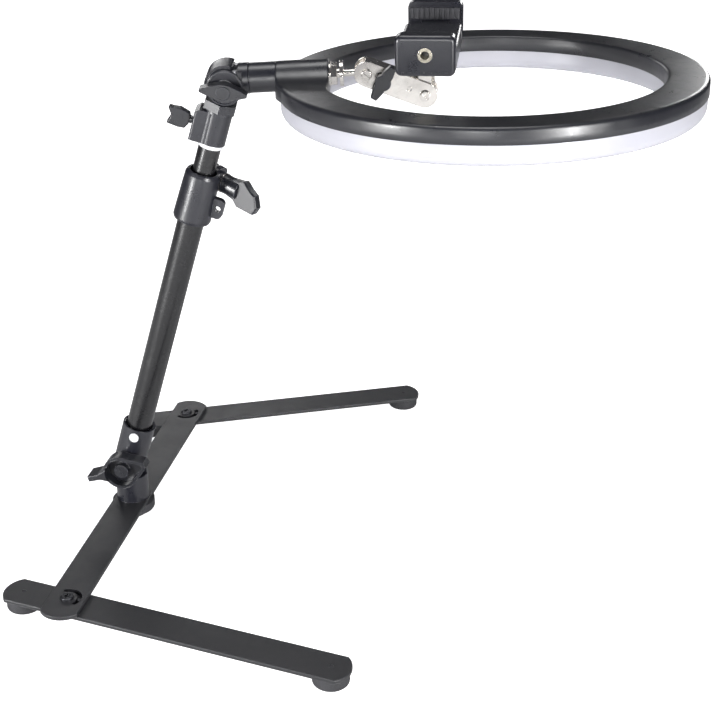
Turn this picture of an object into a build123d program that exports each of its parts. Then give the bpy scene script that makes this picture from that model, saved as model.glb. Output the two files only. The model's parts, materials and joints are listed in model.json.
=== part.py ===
from build123d import *
import os
from math import cos, degrees, radians, sin

# Ring lamp with a phone holder, on a leaning telescopic column and a folding flat-bar base.
# Millimetres and degrees. +Z is up and the table is Z = 0, with the origin on the table below
# the column. The centre bar runs along Y, legs and lamp reach toward +X, the front is -Y.
#
# "_S" values are distances along the column from the tilt pivot.
# Round amounts on cuts only have to clear the part.

os.makedirs("parts", exist_ok=True)

CLEARANCE = 0.05        # between parts that turn or nest

# --- flat steel base ---
BAR_W, BAR_T = 24.5, 2.5    # section of all three flat bars
BAR_ARC = 6.0           # rise of the arc that ends each bar
BAR_EDGE = 0.4          # chamfer round the top of each bar
FOOT_H = 8.5            # rubber foot height
WASHER_T = 0.5          # washer between leg and centre bar
LEG_Z = FOOT_H
BAR_Z = LEG_Z + BAR_T + WASHER_T
BAR_TOP = BAR_Z + BAR_T
PIVOT_Y = 127.6         # leg pivots at +-Y
BAR_CORNER = 14.8       # bar corner beyond each pivot
LEG_CORNER = 187.9      # leg corner beyond its pivot, long side
STUB_CORNER = 39.3      # leg corner beyond its pivot, short side
FRONT_ANGLE = -9.2      # leg directions from +X
REAR_ANGLE = 25.0
PIVOT_SCREW_R = 2.5
SLOT_R = 8.0            # crescent slot, centre-line radius
SLOT_W = 3.2
PIN_R = 1.4
PIN_LEAD = 12.0         # stop pin angle from the leg direction
SLOT_SHORT, SLOT_LONG = 34.5, 115.5     # slot end angles

# --- column ---
LEAN = 16.1             # column lean toward +X
TILT_Z = 44.9           # tilt pivot height
OUTER_R, OUTER_RI = 8.75, 7.75
OUTER_S0, OUTER_S1 = 14.2, 214.0
INNER_R, INNER_RI = 7.25, 6.35
INNER_S0, INNER_S1 = 40.0, 262.0
CLAMP_AZ = 70.0         # direction of the collar's split from the lean direction
CLAMP_E = 12.8          # clamp bolt distance from the column axis
CLAMP_S = 219.5         # clamp bolt height along the column

# --- head, neck and ring ---
HEAD_PAN = 10.7         # head turned about the column axis
HEAD_S0, HEAD_S1 = 246.6, 267.2
THUMB_S = 257.3
ELBOW_S = 286.0
NECK_UP = 19.6          # neck above the plane square to the column
NECK_OFF = 2.6          # neck axis above the elbow pivot
RING_EDGE = 57.7        # neck position above the ring's inner edge
RING_ROLL = -4.4
RING_DIP = 1.63         # neck axis climbs this much against the ring plane
NECK_H = 0.8            # neck axis above the top plate at the inner edge
RING_RO, RING_RI = 130.0, 105.0

# --- phone arm and clip ---
ARM_X = 86.7            # first arm pivot along the neck
LINK_DOWN = 23.4        # link below the neck axis
LINK_L = 38.0
CLIP_UP = 24.3          # clip underside above the second arm pivot
CLIP_SPIN = -6.6
CLIP_SET = 3.9          # clip centre beyond its swivel


# =====================================================================
# Helpers
# =====================================================================
def place(plane, origin=(0, 0, 0), x=(1, 0, 0), z=(0, 0, 1)):
    """Plane given by its origin, x and z directions in the coordinates of another."""
    def to_world(vector):
        v = Vector(*vector)
        return plane.x_dir * v.X + plane.y_dir * v.Y + plane.z_dir * v.Z
    return Plane(origin=plane.origin + to_world(origin), x_dir=to_world(x), z_dir=to_world(z))


def turn(plane, angle):
    """Turn a plane about its own z axis."""
    return place(plane, x=(cos(radians(angle)), sin(radians(angle)), 0))


def pitch(plane, angle):
    """Raise the local x axis toward local z."""
    c, s = cos(radians(angle)), sin(radians(angle))
    return place(plane, x=(c, 0, s), z=(-s, 0, c))


def roll(plane, angle):
    """Turn a plane about its own x axis."""
    return place(plane, z=(0, -sin(radians(angle)), cos(radians(angle))))


def side(plane, origin=(0, 0, 0)):
    """Plane seen from the front: its y is the given plane's z, its normal is -y."""
    return place(plane, origin, z=(0, -1, 0))


def end_on(plane, distance):
    """Plane square to the given plane's x axis, at a distance along it."""
    return place(plane, (distance, 0, 0), x=(0, 1, 0), z=(1, 0, 0))


def polar(radius, angle, centre_y=0):
    return (radius * cos(radians(angle)), centre_y + radius * sin(radians(angle)))


def local_centre(shape, plane):
    """Centre of a face or edge in the coordinates of a plane."""
    d = shape.center() - plane.origin
    return Vector(d.dot(plane.x_dir), d.dot(plane.y_dir), d.dot(plane.z_dir))


def sector(radius, start, end):
    """Draw a pie slice about the origin in the current BuildLine."""
    Line((0, 0), polar(radius, start))
    ThreePointArc(polar(radius, start), polar(radius, (start + end) / 2), polar(radius, end))
    Line(polar(radius, end), (0, 0))


def save(builder, name):
    builder.part.label = name
    export_step(builder.part, f"parts/{name}.step")


def save_rod(name, plane, radius, length, places=((0, 0),)):
    with BuildPart() as rod:
        with BuildSketch(plane):
            with Locations(*places):
                Circle(radius)
        extrude(amount=length)
    save(rod, name)


def save_tube(name, plane, radius, bore, length, places=((0, 0),)):
    """Tube, washer, bush or insert."""
    with BuildPart() as tube:
        with BuildSketch(plane):
            with Locations(*places):
                Circle(radius)
                Circle(bore, mode=Mode.SUBTRACT)
        extrude(amount=length)
    save(tube, name)


def save_nut(name, plane, flat_r, bore, thickness, places=((0, 0),)):
    """Hexagon nut; flat_r is from the axis to a flat."""
    with BuildPart() as nut:
        with BuildSketch(plane):
            with Locations(*places):
                RegularPolygon(flat_r, 6, major_radius=False)
                Circle(bore, mode=Mode.SUBTRACT)
        extrude(amount=thickness)
    save(nut, name)


# =====================================================================
# Frames
# =====================================================================
TILT = side(Plane(origin=(0, 0, TILT_Z)))           # tilt pivot, z toward the front
COLUMN = pitch(Plane(origin=(0, 0, TILT_Z)), -LEAN)  # z along the column
COLUMN_SIDE = side(COLUMN)
CLAMP = turn(COLUMN.offset(CLAMP_S), CLAMP_AZ)      # x along the ears, -y = knob side
CLAMP_BOLT = side(CLAMP, (CLAMP_E, 0, 0))           # z toward the knob
HEAD = turn(COLUMN, HEAD_PAN)
KNUCKLE = side(HEAD, (0, 0, ELBOW_S))
THUMB = place(HEAD, (0, 0, THUMB_S), x=(0, 1, 0), z=(-1, 0, 0))   # z outward, y up the column
ELBOW = pitch(HEAD.offset(ELBOW_S), NECK_UP)        # x along the neck
ELBOW_SIDE = side(ELBOW)
NECK = ELBOW.offset(NECK_OFF)
EDGE = pitch(roll(place(NECK, (RING_EDGE, 0, 0)), RING_ROLL), -RING_DIP)
RING = place(EDGE, (RING_RI, 0, -NECK_H))           # ring centre, on the top plate
ARM = place(NECK, (ARM_X, 0, 0))
LINK = pitch(ARM, -LINK_DOWN)
LINK_SIDE = side(LINK)
HOLDER = pitch(place(LINK, (LINK_L, 0, 0)), LINK_DOWN - RING_DIP)
CLIP = place(turn(HOLDER.offset(CLIP_UP), CLIP_SPIN), (CLIP_SET, 0, 0))


# =====================================================================
# Base
# =====================================================================
PIVOTS = ((0, -PIVOT_Y), (0, PIVOT_Y))
MOUNT_R = 3.0           # bolt that holds the column's stub


def bar_outline(start, end):
    """Draw a bar along x, with an arc beyond each end, in the current BuildLine."""
    half = BAR_W / 2
    Line((start, -half), (end, -half))
    ThreePointArc((end, -half), (end + BAR_ARC, 0), (end, half))
    Line((end, half), (start, half))
    ThreePointArc((start, half), (start - BAR_ARC, 0), (start, -half))


def slot_outline(centre_y, start, end):
    """Draw a crescent slot about (0, centre_y) in the current BuildLine."""
    inner, outer = SLOT_R - SLOT_W / 2, SLOT_R + SLOT_W / 2
    middle = (start + end) / 2
    cap = degrees(SLOT_W / 2 / SLOT_R)

    def arc(*points):
        ThreePointArc(*[polar(radius, angle, centre_y) for radius, angle in points])

    arc((outer, start), (outer, middle), (outer, end))
    arc((outer, end), (SLOT_R, end + cap), (inner, end))
    arc((inner, end), (inner, middle), (inner, start))
    arc((inner, start), (SLOT_R, start - cap), (outer, start))


with BuildPart() as centre_bar:
    with BuildSketch(Plane(origin=(0, 0, BAR_Z), x_dir=(0, 1, 0), z_dir=(0, 0, 1))):
        with BuildLine():
            bar_outline(-PIVOT_Y - BAR_CORNER, PIVOT_Y + BAR_CORNER)
        make_face()
        with Locations((-PIVOT_Y, 0), (PIVOT_Y, 0)):
            Circle(PIVOT_SCREW_R + CLEARANCE, mode=Mode.SUBTRACT)
        Circle(MOUNT_R + CLEARANCE, mode=Mode.SUBTRACT)
    extrude(amount=BAR_T)
    chamfer(centre_bar.faces().sort_by(Axis.Z)[-1].outer_wire().edges(), BAR_EDGE)
    for slot in ((-PIVOT_Y, -SLOT_SHORT, SLOT_LONG), (PIVOT_Y, -SLOT_LONG, SLOT_SHORT)):
        with BuildSketch(Plane.XY.offset(BAR_Z)):
            with BuildLine():
                slot_outline(*slot)
            make_face()
        extrude(amount=BAR_T, mode=Mode.SUBTRACT)
save(centre_bar, "centre_bar")

FOOT_R, FOOT_ROUND = 11.6, 1.6
FOOT_STEM_R = 1.6       # moulded stem that passes up into the bar
FOOT_PLACES = ((181.0, 0), (-32.2, 0))      # foot centres along each leg
STEM_SHORT = 0.3        # stem ends below the top of the leg
PIN_SHORT, PIN_EDGE = 0.4, 0.3      # pin ends below the centre bar's top; its chamfer


def make_leg(name, pivot_y, angle, pin_angle):
    """One swinging leg, its stop pin and its two rubber feet."""
    base = turn(Plane(origin=(0, pivot_y, LEG_Z)), angle)
    pin_place = polar(SLOT_R, pin_angle)
    with BuildPart() as bar:
        with BuildSketch(base):
            with BuildLine():
                bar_outline(-STUB_CORNER, LEG_CORNER)
            make_face()
            Circle(PIVOT_SCREW_R + CLEARANCE, mode=Mode.SUBTRACT)
            with Locations(pin_place):
                Circle(PIN_R, mode=Mode.SUBTRACT)
            with Locations(*FOOT_PLACES):
                Circle(FOOT_STEM_R, mode=Mode.SUBTRACT)
        extrude(amount=BAR_T)
        chamfer(bar.faces().sort_by(Axis.Z)[-1].outer_wire().edges(), BAR_EDGE)
    save(bar, f"{name}_leg")
    with BuildPart() as pin:
        with BuildSketch(base):
            with Locations(pin_place):
                Circle(PIN_R)
        extrude(amount=BAR_TOP - PIN_SHORT - LEG_Z)
        chamfer(pin.faces().sort_by(Axis.Z)[-1].edges(), PIN_EDGE)
    save(pin, f"{name}_stop_pin")
    with BuildPart() as feet:
        with BuildSketch(base.offset(-FOOT_H)):
            with Locations(*FOOT_PLACES):
                Circle(FOOT_R)
        extrude(amount=FOOT_H)
        fillet(feet.edges().filter_by(GeomType.CIRCLE).group_by(Axis.Z)[0], FOOT_ROUND)
        with BuildSketch(base):
            with Locations(*FOOT_PLACES):
                Circle(FOOT_STEM_R)
        extrude(amount=BAR_T - STEM_SHORT)
    save(feet, f"{name}_leg_feet")


make_leg("front", -PIVOT_Y, FRONT_ANGLE, PIN_LEAD)
make_leg("rear", PIVOT_Y, REAR_ANGLE, -PIN_LEAD)

PIVOT_SCREW_Z = 3.2     # lower end of the shank
PIVOT_HEAD_R, PIVOT_HEAD_H, PIVOT_HEAD_ROUND = 4.25, 1.9, 0.9
CROSS_L, CROSS_W = 4.6, 1.0     # cross recess
CROSS_Z = 0.9           # recess floor above the bar
with BuildPart() as pivot_screws:
    with BuildSketch(Plane.XY.offset(BAR_TOP)):
        with Locations(*PIVOTS):
            Circle(PIVOT_HEAD_R)
    extrude(amount=PIVOT_HEAD_H)
    with BuildSketch(Plane.XY.offset(PIVOT_SCREW_Z)):
        with Locations(*PIVOTS):
            Circle(PIVOT_SCREW_R)
    extrude(amount=BAR_TOP - PIVOT_SCREW_Z)
    fillet(pivot_screws.faces().group_by(Axis.Z)[-1].edges(), PIVOT_HEAD_ROUND)
    with BuildSketch(Plane.XY.offset(BAR_TOP + CROSS_Z)):
        with Locations(*PIVOTS):
            Rectangle(CROSS_L, CROSS_W)
            Rectangle(CROSS_W, CROSS_L)
    extrude(amount=2, mode=Mode.SUBTRACT)
save(pivot_screws, "pivot_screws")

PIVOT_NUT_R, PIVOT_NUT_T = 4.0, 4.0
PIVOT_NUT_GAP = 0.1     # nut below the leg
save_nut("pivot_nuts", Plane.XY.offset(LEG_Z - PIVOT_NUT_GAP - PIVOT_NUT_T),
         PIVOT_NUT_R, PIVOT_SCREW_R, PIVOT_NUT_T, PIVOTS)

PIVOT_WASHER_R = 5.6
WASHER_GAP = 0.02       # washer above the leg
save_tube("pivot_washers", Plane.XY.offset(BAR_Z - WASHER_T + WASHER_GAP),
          PIVOT_WASHER_R, PIVOT_SCREW_R, WASHER_T - WASHER_GAP, PIVOTS)

# Foot below the centre bar, with a smaller pad that touches the table
CENTRE_FOOT_R, CENTRE_FOOT_ROUND = 15.0, 1.6
CENTRE_PAD_R, CENTRE_PAD_H, CENTRE_PAD_ROUND = 9.0, 4.5, 1.0
PAD_OVERLAP = 0.5
HEAD_POCKET_R, HEAD_POCKET_H = 5.3, 4.2     # for the mount bolt's head
with BuildPart() as centre_foot:
    with BuildSketch(Plane.XY):
        Circle(CENTRE_PAD_R)
    extrude(amount=CENTRE_PAD_H + PAD_OVERLAP)
    fillet(centre_foot.edges().filter_by(GeomType.CIRCLE).sort_by(Axis.Z)[0], CENTRE_PAD_ROUND)
    with BuildSketch(Plane.XY.offset(CENTRE_PAD_H)):
        Circle(CENTRE_FOOT_R)
    extrude(amount=BAR_Z - CENTRE_PAD_H)
    # lower edge of the wide part
    fillet(centre_foot.edges().filter_by(GeomType.CIRCLE).filter_by(
        lambda edge: edge.radius > CENTRE_FOOT_R - 0.5
        and edge.center().Z < CENTRE_PAD_H + 0.1), CENTRE_FOOT_ROUND)
    with BuildSketch(Plane.XY.offset(BAR_Z - HEAD_POCKET_H)):
        Circle(HEAD_POCKET_R)
    extrude(amount=HEAD_POCKET_H, mode=Mode.SUBTRACT)
save(centre_foot, "centre_foot")

MOUNT_HEAD_R, MOUNT_HEAD_H = 5.0, 4.0       # head radius to its corners
MOUNT_L = 18.0
with BuildPart() as mount_bolt:
    with BuildSketch(Plane.XY.offset(BAR_Z - MOUNT_HEAD_H)):
        RegularPolygon(MOUNT_HEAD_R, 6)
    extrude(amount=MOUNT_HEAD_H)
    with BuildSketch(Plane.XY.offset(BAR_Z)):
        Circle(MOUNT_R)
    extrude(amount=MOUNT_L)
save(mount_bolt, "mount_bolt")

STUB_R, STUB_TAPER = 11.5, 0.4
LAP_R = 11.1            # rounded half-lap radius about the tilt pivot
LAP_GAP = 0.6           # between an ear and the other part's shoulder
LAP_T, LAP_HALF_GAP = 10.8, 0.1     # ear thickness, ear from the middle plane
STUB_TOP = TILT_Z - LAP_R - LAP_GAP
TILT_R = 3.0            # tilt bolt
TILT_NUT_R = 5.0
TILT_NUT_Z0, TILT_NUT_Z1 = -12.2, -7.4      # along the tilt axis
with BuildPart() as base_stub:
    with BuildSketch(Plane.XY.offset(BAR_TOP)):
        Circle(STUB_R)
    extrude(amount=STUB_TOP - BAR_TOP, taper=STUB_TAPER)
    # rear half-lap ear
    with BuildSketch(TILT.offset(-LAP_HALF_GAP - LAP_T)):
        Circle(LAP_R)
        with Locations((0, -(TILT_Z - STUB_TOP) / 2)):
            Rectangle(2 * LAP_R, TILT_Z - STUB_TOP)
    extrude(amount=LAP_T)
    # trimmed to the stub's round
    with BuildSketch(Plane.XY.offset(BAR_TOP)):
        Circle(STUB_R)
    extrude(amount=60, mode=Mode.INTERSECT)
    with BuildSketch(TILT.offset(-14)):
        Circle(TILT_R + CLEARANCE)
    extrude(amount=14, mode=Mode.SUBTRACT)
    with BuildSketch(TILT.offset(-14)):
        RegularPolygon(TILT_NUT_R + CLEARANCE, 6, major_radius=False)
    extrude(amount=14 + TILT_NUT_Z1, mode=Mode.SUBTRACT)
    # hole for the mount bolt, half a millimetre deeper than its end
    with BuildSketch(Plane.XY.offset(BAR_TOP)):
        Circle(MOUNT_R)
    extrude(amount=BAR_Z + MOUNT_L - BAR_TOP + 0.5, mode=Mode.SUBTRACT)
save(base_stub, "base_stub")

save_nut("tilt_nut", TILT.offset(TILT_NUT_Z0), TILT_NUT_R, TILT_R + CLEARANCE,
         TILT_NUT_Z1 - TILT_NUT_Z0)

# =====================================================================
# Column
# =====================================================================
SOCKET_R = 11.35
SOCKET_TOP = 30.0
SOCKET_EAR_H = 14       # ear's straight part above the tilt pivot
TUBE_END_GAP = 0.2      # cup floor below the outer tube
MOUTH_H, MOUTH_CUT, MOUTH_TAPER = 1.5, 1.6, -42     # flare at the cup's mouth
RIVET = side(COLUMN, (1.1, 0, 24.6))    # z toward the front
RIVET_R = 2.0
with BuildPart() as column_socket:
    # front half-lap ear
    with BuildSketch(COLUMN_SIDE.offset(LAP_HALF_GAP)):
        Circle(LAP_R)
        with Locations((0, SOCKET_EAR_H / 2)):
            Rectangle(2 * LAP_R, SOCKET_EAR_H)
    extrude(amount=LAP_T)
    # cup
    with BuildSketch(COLUMN.offset(LAP_R + LAP_GAP)):
        Circle(SOCKET_R)
    extrude(amount=SOCKET_TOP - LAP_R - LAP_GAP)
    # trimmed to the socket's round
    with BuildSketch(COLUMN.offset(-20)):
        Circle(SOCKET_R)
    extrude(amount=60, mode=Mode.INTERSECT)
    with BuildSketch(COLUMN.offset(OUTER_S0 - TUBE_END_GAP)):
        Circle(OUTER_R)
    extrude(amount=30, mode=Mode.SUBTRACT)
    with BuildSketch(COLUMN.offset(SOCKET_TOP - MOUTH_H)):
        Circle(OUTER_R)
    extrude(amount=MOUTH_CUT, taper=MOUTH_TAPER, mode=Mode.SUBTRACT)
    with BuildSketch(COLUMN_SIDE.offset(-1)):
        Circle(TILT_R + CLEARANCE)
    extrude(amount=16, mode=Mode.SUBTRACT)
    with BuildSketch(RIVET):
        Circle(RIVET_R)
    extrude(amount=16, mode=Mode.SUBTRACT)
save(column_socket, "column_socket")

RIVET_HEAD_R, RIVET_HEAD_H, RIVET_ROUND = 3.4, 1.1, 0.6
RIVET_HEAD_Z = 11.36    # underside of the head, just clear of the shank
DIMPLE_R, DIMPLE_Z = 0.8, 11.9
with BuildPart() as socket_rivet:
    with BuildSketch(RIVET.offset(RIVET_HEAD_Z)):
        Circle(RIVET_HEAD_R)
    extrude(amount=RIVET_HEAD_H)
    fillet(socket_rivet.edges().filter_by(GeomType.CIRCLE)
           .sort_by(lambda edge: edge.center().Y)[0], RIVET_ROUND)
    with BuildSketch(RIVET.offset(OUTER_RI)):
        Circle(RIVET_R)
    extrude(amount=SOCKET_R - OUTER_RI)
    with BuildSketch(RIVET.offset(DIMPLE_Z)):
        Circle(DIMPLE_R)
    extrude(amount=2, mode=Mode.SUBTRACT)
    # inner face follows the tube bore
    with BuildSketch(COLUMN.offset(10)):
        Circle(OUTER_RI)
    extrude(amount=30, mode=Mode.SUBTRACT)
save(socket_rivet, "socket_rivet")

with BuildPart() as outer_tube:
    with BuildSketch(COLUMN.offset(OUTER_S0)):
        Circle(OUTER_R)
        Circle(OUTER_RI, mode=Mode.SUBTRACT)
    extrude(amount=OUTER_S1 - OUTER_S0)
    with BuildSketch(RIVET):
        Circle(RIVET_R)
    extrude(amount=16, mode=Mode.SUBTRACT)
save(outer_tube, "outer_tube")

BUSH_S0 = 195.0
save_tube("tube_bush", COLUMN.offset(BUSH_S0), OUTER_RI, INNER_R + CLEARANCE,
          OUTER_S1 - BUSH_S0)

COLLAR_S0, COLLAR_S1 = 192.3, 226.5
COLLAR_MOUTH_R, COLLAR_MOUTH_S = 8.9, 221.0     # wider bore at the top
# (radius, distance along the column)
COLLAR_PROFILE = (
    (OUTER_R, COLLAR_S0), (11.8, COLLAR_S0), (12.4, COLLAR_S0 + 1.6), (12.2, COLLAR_S0 + 8),
    (11.7, CLAMP_S - 4), (11.3, COLLAR_S1 - 2.4), (10.5, COLLAR_S1 - 0.6), (9.9, COLLAR_S1),
    (COLLAR_MOUTH_R, COLLAR_S1), (COLLAR_MOUTH_R, COLLAR_MOUTH_S),
    (INNER_R + CLEARANCE, 219.8), (INNER_R + CLEARANCE, OUTER_S1), (OUTER_R, OUTER_S1),
)
SPLIT_W = 2.2
EAR_OUT = 5.4           # ear's outer face from the split's middle
EAR_X, EAR_L, EAR_H, EAR_ROUND = 13.2, 12.4, 16.6, 4.0
EAR_ROOT_X, EAR_ROOT_L, EAR_ROOT_H = 9.5, 5.0, 13.0
KNOB_BOSS_R, KNOB_BOSS_H = 6.3, 7.7
LUG_S, LUG_T = 205.1, 4.4       # lug on the +X side
LUG_X, LUG_L, LUG_H, LUG_ROUND = 13.4, 10.6, 13.4, 3.2
LUG_HOLE_X, LUG_HOLE_R = 15.2, 2.1
COLLAR_BOLT_R = 2.5
NUT_SEAT_R = 5.0
KNOB_SEAT_R, KNOB_SEAT_Z = 6.9, 8.8     # flat seat for the washer and the knob's hub
with BuildPart() as clamp_collar:
    with BuildSketch(COLUMN_SIDE):
        with BuildLine():
            Polyline(*COLLAR_PROFILE, close=True)
        make_face()
    revolve(axis=Axis(COLUMN.origin, COLUMN.z_dir))
    # ears either side of the split, and the round boss under the knob
    for ear_start in (SPLIT_W / 2, -EAR_OUT):
        with BuildSketch(side(CLAMP).offset(ear_start)):
            with Locations((EAR_X, 0)):
                RectangleRounded(EAR_L, EAR_H, EAR_ROUND)
            with Locations((EAR_ROOT_X, 0)):
                Rectangle(EAR_ROOT_L, EAR_ROOT_H)
        extrude(amount=EAR_OUT - SPLIT_W / 2)
    with BuildSketch(CLAMP_BOLT.offset(SPLIT_W / 2)):
        Circle(KNOB_BOSS_R)
    extrude(amount=KNOB_BOSS_H)
    with BuildSketch(COLUMN_SIDE.offset(-LUG_T / 2)):
        with Locations((LUG_X, LUG_S)):
            RectangleRounded(LUG_L, LUG_H, LUG_ROUND)
    extrude(amount=LUG_T)
    # clear both tubes: start, radius, length
    for start, radius, length in (
        (COLLAR_S0, OUTER_R, OUTER_S1 - COLLAR_S0),
        (OUTER_S1, INNER_R + CLEARANCE, 30),
        (COLLAR_MOUTH_S, COLLAR_MOUTH_R, 30),
    ):
        with BuildSketch(COLUMN.offset(start)):
            Circle(radius)
        extrude(amount=length, mode=Mode.SUBTRACT)
    # split
    with BuildSketch(place(CLAMP, (13.5, 0, -13.0))):
        Rectangle(16, SPLIT_W)
    extrude(amount=30, mode=Mode.SUBTRACT)
    with BuildSketch(CLAMP_BOLT.offset(-20)):
        Circle(COLLAR_BOLT_R + CLEARANCE)
    extrude(amount=40, mode=Mode.SUBTRACT)
    with BuildSketch(CLAMP_BOLT.offset(-EAR_OUT - 10)):
        Circle(NUT_SEAT_R)
    extrude(amount=10, mode=Mode.SUBTRACT)
    with BuildSketch(COLUMN_SIDE.offset(-5)):
        with Locations((LUG_HOLE_X, LUG_S)):
            Circle(LUG_HOLE_R)
    extrude(amount=10, mode=Mode.SUBTRACT)
    with BuildSketch(CLAMP_BOLT.offset(KNOB_SEAT_Z)):
        Circle(KNOB_SEAT_R)
    extrude(amount=12, mode=Mode.SUBTRACT)
save(clamp_collar, "clamp_collar")

COLLAR_NUT_R, COLLAR_NUT_T = 4.0, 4.0
save_nut("collar_nut", CLAMP_BOLT.offset(-EAR_OUT - COLLAR_NUT_T), COLLAR_NUT_R,
         COLLAR_BOLT_R + CLEARANCE, COLLAR_NUT_T)

save_tube("inner_tube", COLUMN.offset(INNER_S0), INNER_R, INNER_RI, INNER_S1 - INNER_S0)

# Plug in the lower end of the inner tube, running in the outer tube
GLIDE_H, GLIDE_PLUG_H = 6.0, 8.0
GLIDE_BORE_R, GLIDE_BORE_H = 4.5, 11.0
with BuildPart() as tube_glide:
    with BuildSketch(COLUMN.offset(INNER_S0 - GLIDE_H)):
        Circle(OUTER_RI - CLEARANCE)
    extrude(amount=GLIDE_H)
    with BuildSketch(COLUMN.offset(INNER_S0)):
        Circle(INNER_RI)
    extrude(amount=GLIDE_PLUG_H)
    with BuildSketch(COLUMN.offset(INNER_S0 - GLIDE_H)):
        Circle(GLIDE_BORE_R)
    extrude(amount=GLIDE_BORE_H, mode=Mode.SUBTRACT)
save(tube_glide, "tube_glide")

SPIGOT_RING_R, SPIGOT_RING_T = 8.0, 2.6
SPIGOT_RING_DOWN = 2.7  # ring's underside below the head
save_tube("spigot_ring", COLUMN.offset(HEAD_S0 - SPIGOT_RING_DOWN), SPIGOT_RING_R, INNER_R,
          SPIGOT_RING_T)

# =====================================================================
# Knobs on the column
# =====================================================================
TILT_KNOB_Z = 13.1
TILT_KNOB = turn(TILT.offset(TILT_KNOB_Z), 22.9)    # x along the hollow wing, z to the front
CAP_R, CAP_H = 12.4, 9.2
CAVITY_R, CAVITY_Z = 10.2, 3.0
BLADE_H, BLADE_EDGE = 12.6, 0.5
TILT_HUB_R, TILT_HUB_Z, TILT_HUB_H = 5.2, 2.9, 4.4
TILT_FOOT_R, TILT_FOOT_Z, TILT_FOOT_H = 6.0, -2.1, 2.2
TILT_BOLT_IN, TILT_BORE_Z = 6.0, -2.2   # bolt hole's two ends in the knob
WING_OUTLINE = ((4.0, 10.6), (13.0, 6.4), (19.5, 2.2), (19.8, -1.6), (13.0, -6.6), (4.0, -10.6))
WING_CAVITY = ((3.0, 8.6), (12.0, 4.7), (17.0, 1.5), (17.2, -1.0), (12.0, -4.9), (3.0, -8.6))
BLADE_OUTLINE = (
    (-8.0, 6.8), (-15.0, 5.1), (-23.2, 5.5), (-23.7, 1.4), (-15.0, 0.4), (-8.0, -3.6),
)
with BuildPart() as tilt_knob:
    with BuildSketch(TILT_KNOB):
        Circle(CAP_R)
        with BuildLine():
            Polyline(*WING_OUTLINE, close=True)
        make_face()
    extrude(amount=CAP_H)
    # flat blade on the other side
    with BuildSketch(TILT_KNOB):
        with BuildLine():
            Polyline(*BLADE_OUTLINE, close=True)
        make_face()
    extrude(amount=BLADE_H)
    chamfer(tilt_knob.faces().filter_by(
        lambda face: local_centre(face, TILT_KNOB).Z > BLADE_H - 0.1).edges(), BLADE_EDGE)
    with BuildSketch(TILT_KNOB.offset(CAVITY_Z)):
        Circle(CAVITY_R)
        with BuildLine():
            Polyline(*WING_CAVITY, close=True)
        make_face()
    extrude(amount=12.0, mode=Mode.SUBTRACT)
    with BuildSketch(TILT_KNOB.offset(TILT_HUB_Z)):
        Circle(TILT_HUB_R)
    extrude(amount=TILT_HUB_H)
    with BuildSketch(TILT_KNOB.offset(TILT_FOOT_Z)):
        Circle(TILT_FOOT_R)
    extrude(amount=TILT_FOOT_H)
    with BuildSketch(TILT_KNOB.offset(TILT_BORE_Z)):
        Circle(TILT_R)
    extrude(amount=TILT_BOLT_IN - TILT_BORE_Z, mode=Mode.SUBTRACT)
save(tilt_knob, "tilt_knob")

TILT_BOLT_BACK = 12.8   # bolt end behind the column's middle plane
save_rod("tilt_bolt", TILT.offset(-TILT_BOLT_BACK), TILT_R,
         TILT_BOLT_BACK + TILT_KNOB_Z + TILT_BOLT_IN)

COLLAR_WASHER_R, COLLAR_WASHER_T = 6.6, 0.9
save_tube("collar_washer", CLAMP_BOLT.offset(KNOB_SEAT_Z), COLLAR_WASHER_R, COLLAR_BOLT_R,
          COLLAR_WASHER_T)

COLLAR_KNOB_Z = 9.75
COLLAR_KNOB = CLAMP_BOLT.offset(COLLAR_KNOB_Z)
COLLAR_HUB_R, COLLAR_HUB_H, COLLAR_HUB_TAPER = 6.3, 12.0, 1.5
PADDLE_T, PADDLE_EDGE = 6.2, 0.7
COLLAR_BOLT_IN = 9.0    # bolt end in the knob
PADDLE_LOW = -9.5       # the paddle's straight lower side
# (along the knob axis, along the column)
PADDLE_OUTLINE = (
    (3.0, 5.2), (12.1, 6.9), (15.5, 8.4), (20.5, 4.8), (25.0, 2.6), (28.6, -4.3),
    (26.9, PADDLE_LOW), (14.1, PADDLE_LOW), (10.1, -6.2), (3.0, -5.2),
)


def on_paddle_rim(edge):
    """Outer edges on the paddle's two faces, without the straight lower side."""
    centre = local_centre(edge, COLLAR_KNOB)
    return (centre.Z > 14.5 and abs(abs(centre.X) - PADDLE_T / 2) < 0.05
            and abs(centre.Y - PADDLE_LOW) > 0.2)


with BuildPart() as collar_knob:
    with BuildSketch(COLLAR_KNOB):
        Circle(COLLAR_HUB_R)
    extrude(amount=COLLAR_HUB_H, taper=COLLAR_HUB_TAPER)
    with BuildSketch(place(COLLAR_KNOB, (PADDLE_T / 2, 0, 0), x=(0, 0, 1), z=(-1, 0, 0))):
        with BuildLine():
            Polyline(*PADDLE_OUTLINE, close=True)
        make_face()
    extrude(amount=PADDLE_T)
    chamfer(collar_knob.edges().filter_by(on_paddle_rim), PADDLE_EDGE)
    with BuildSketch(COLLAR_KNOB):
        Circle(COLLAR_BOLT_R)
    extrude(amount=COLLAR_BOLT_IN, mode=Mode.SUBTRACT)
save(collar_knob, "collar_knob")

COLLAR_BOLT_BACK = 11.5
save_rod("collar_bolt", CLAMP_BOLT.offset(-COLLAR_BOLT_BACK), COLLAR_BOLT_R,
         COLLAR_BOLT_BACK + COLLAR_KNOB_Z + COLLAR_BOLT_IN)

# =====================================================================
# Head socket, thumbscrew and elbow
# =====================================================================
HEAD_R = 8.9
BOSS_X, BOSS_L, BOSS_W, BOSS_ROUND = -8.1, 12.2, 15.0, 1.6
FAIRING_X, FAIRING_R = -2.5, 8.2    # round that blends the boss into the socket
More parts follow.
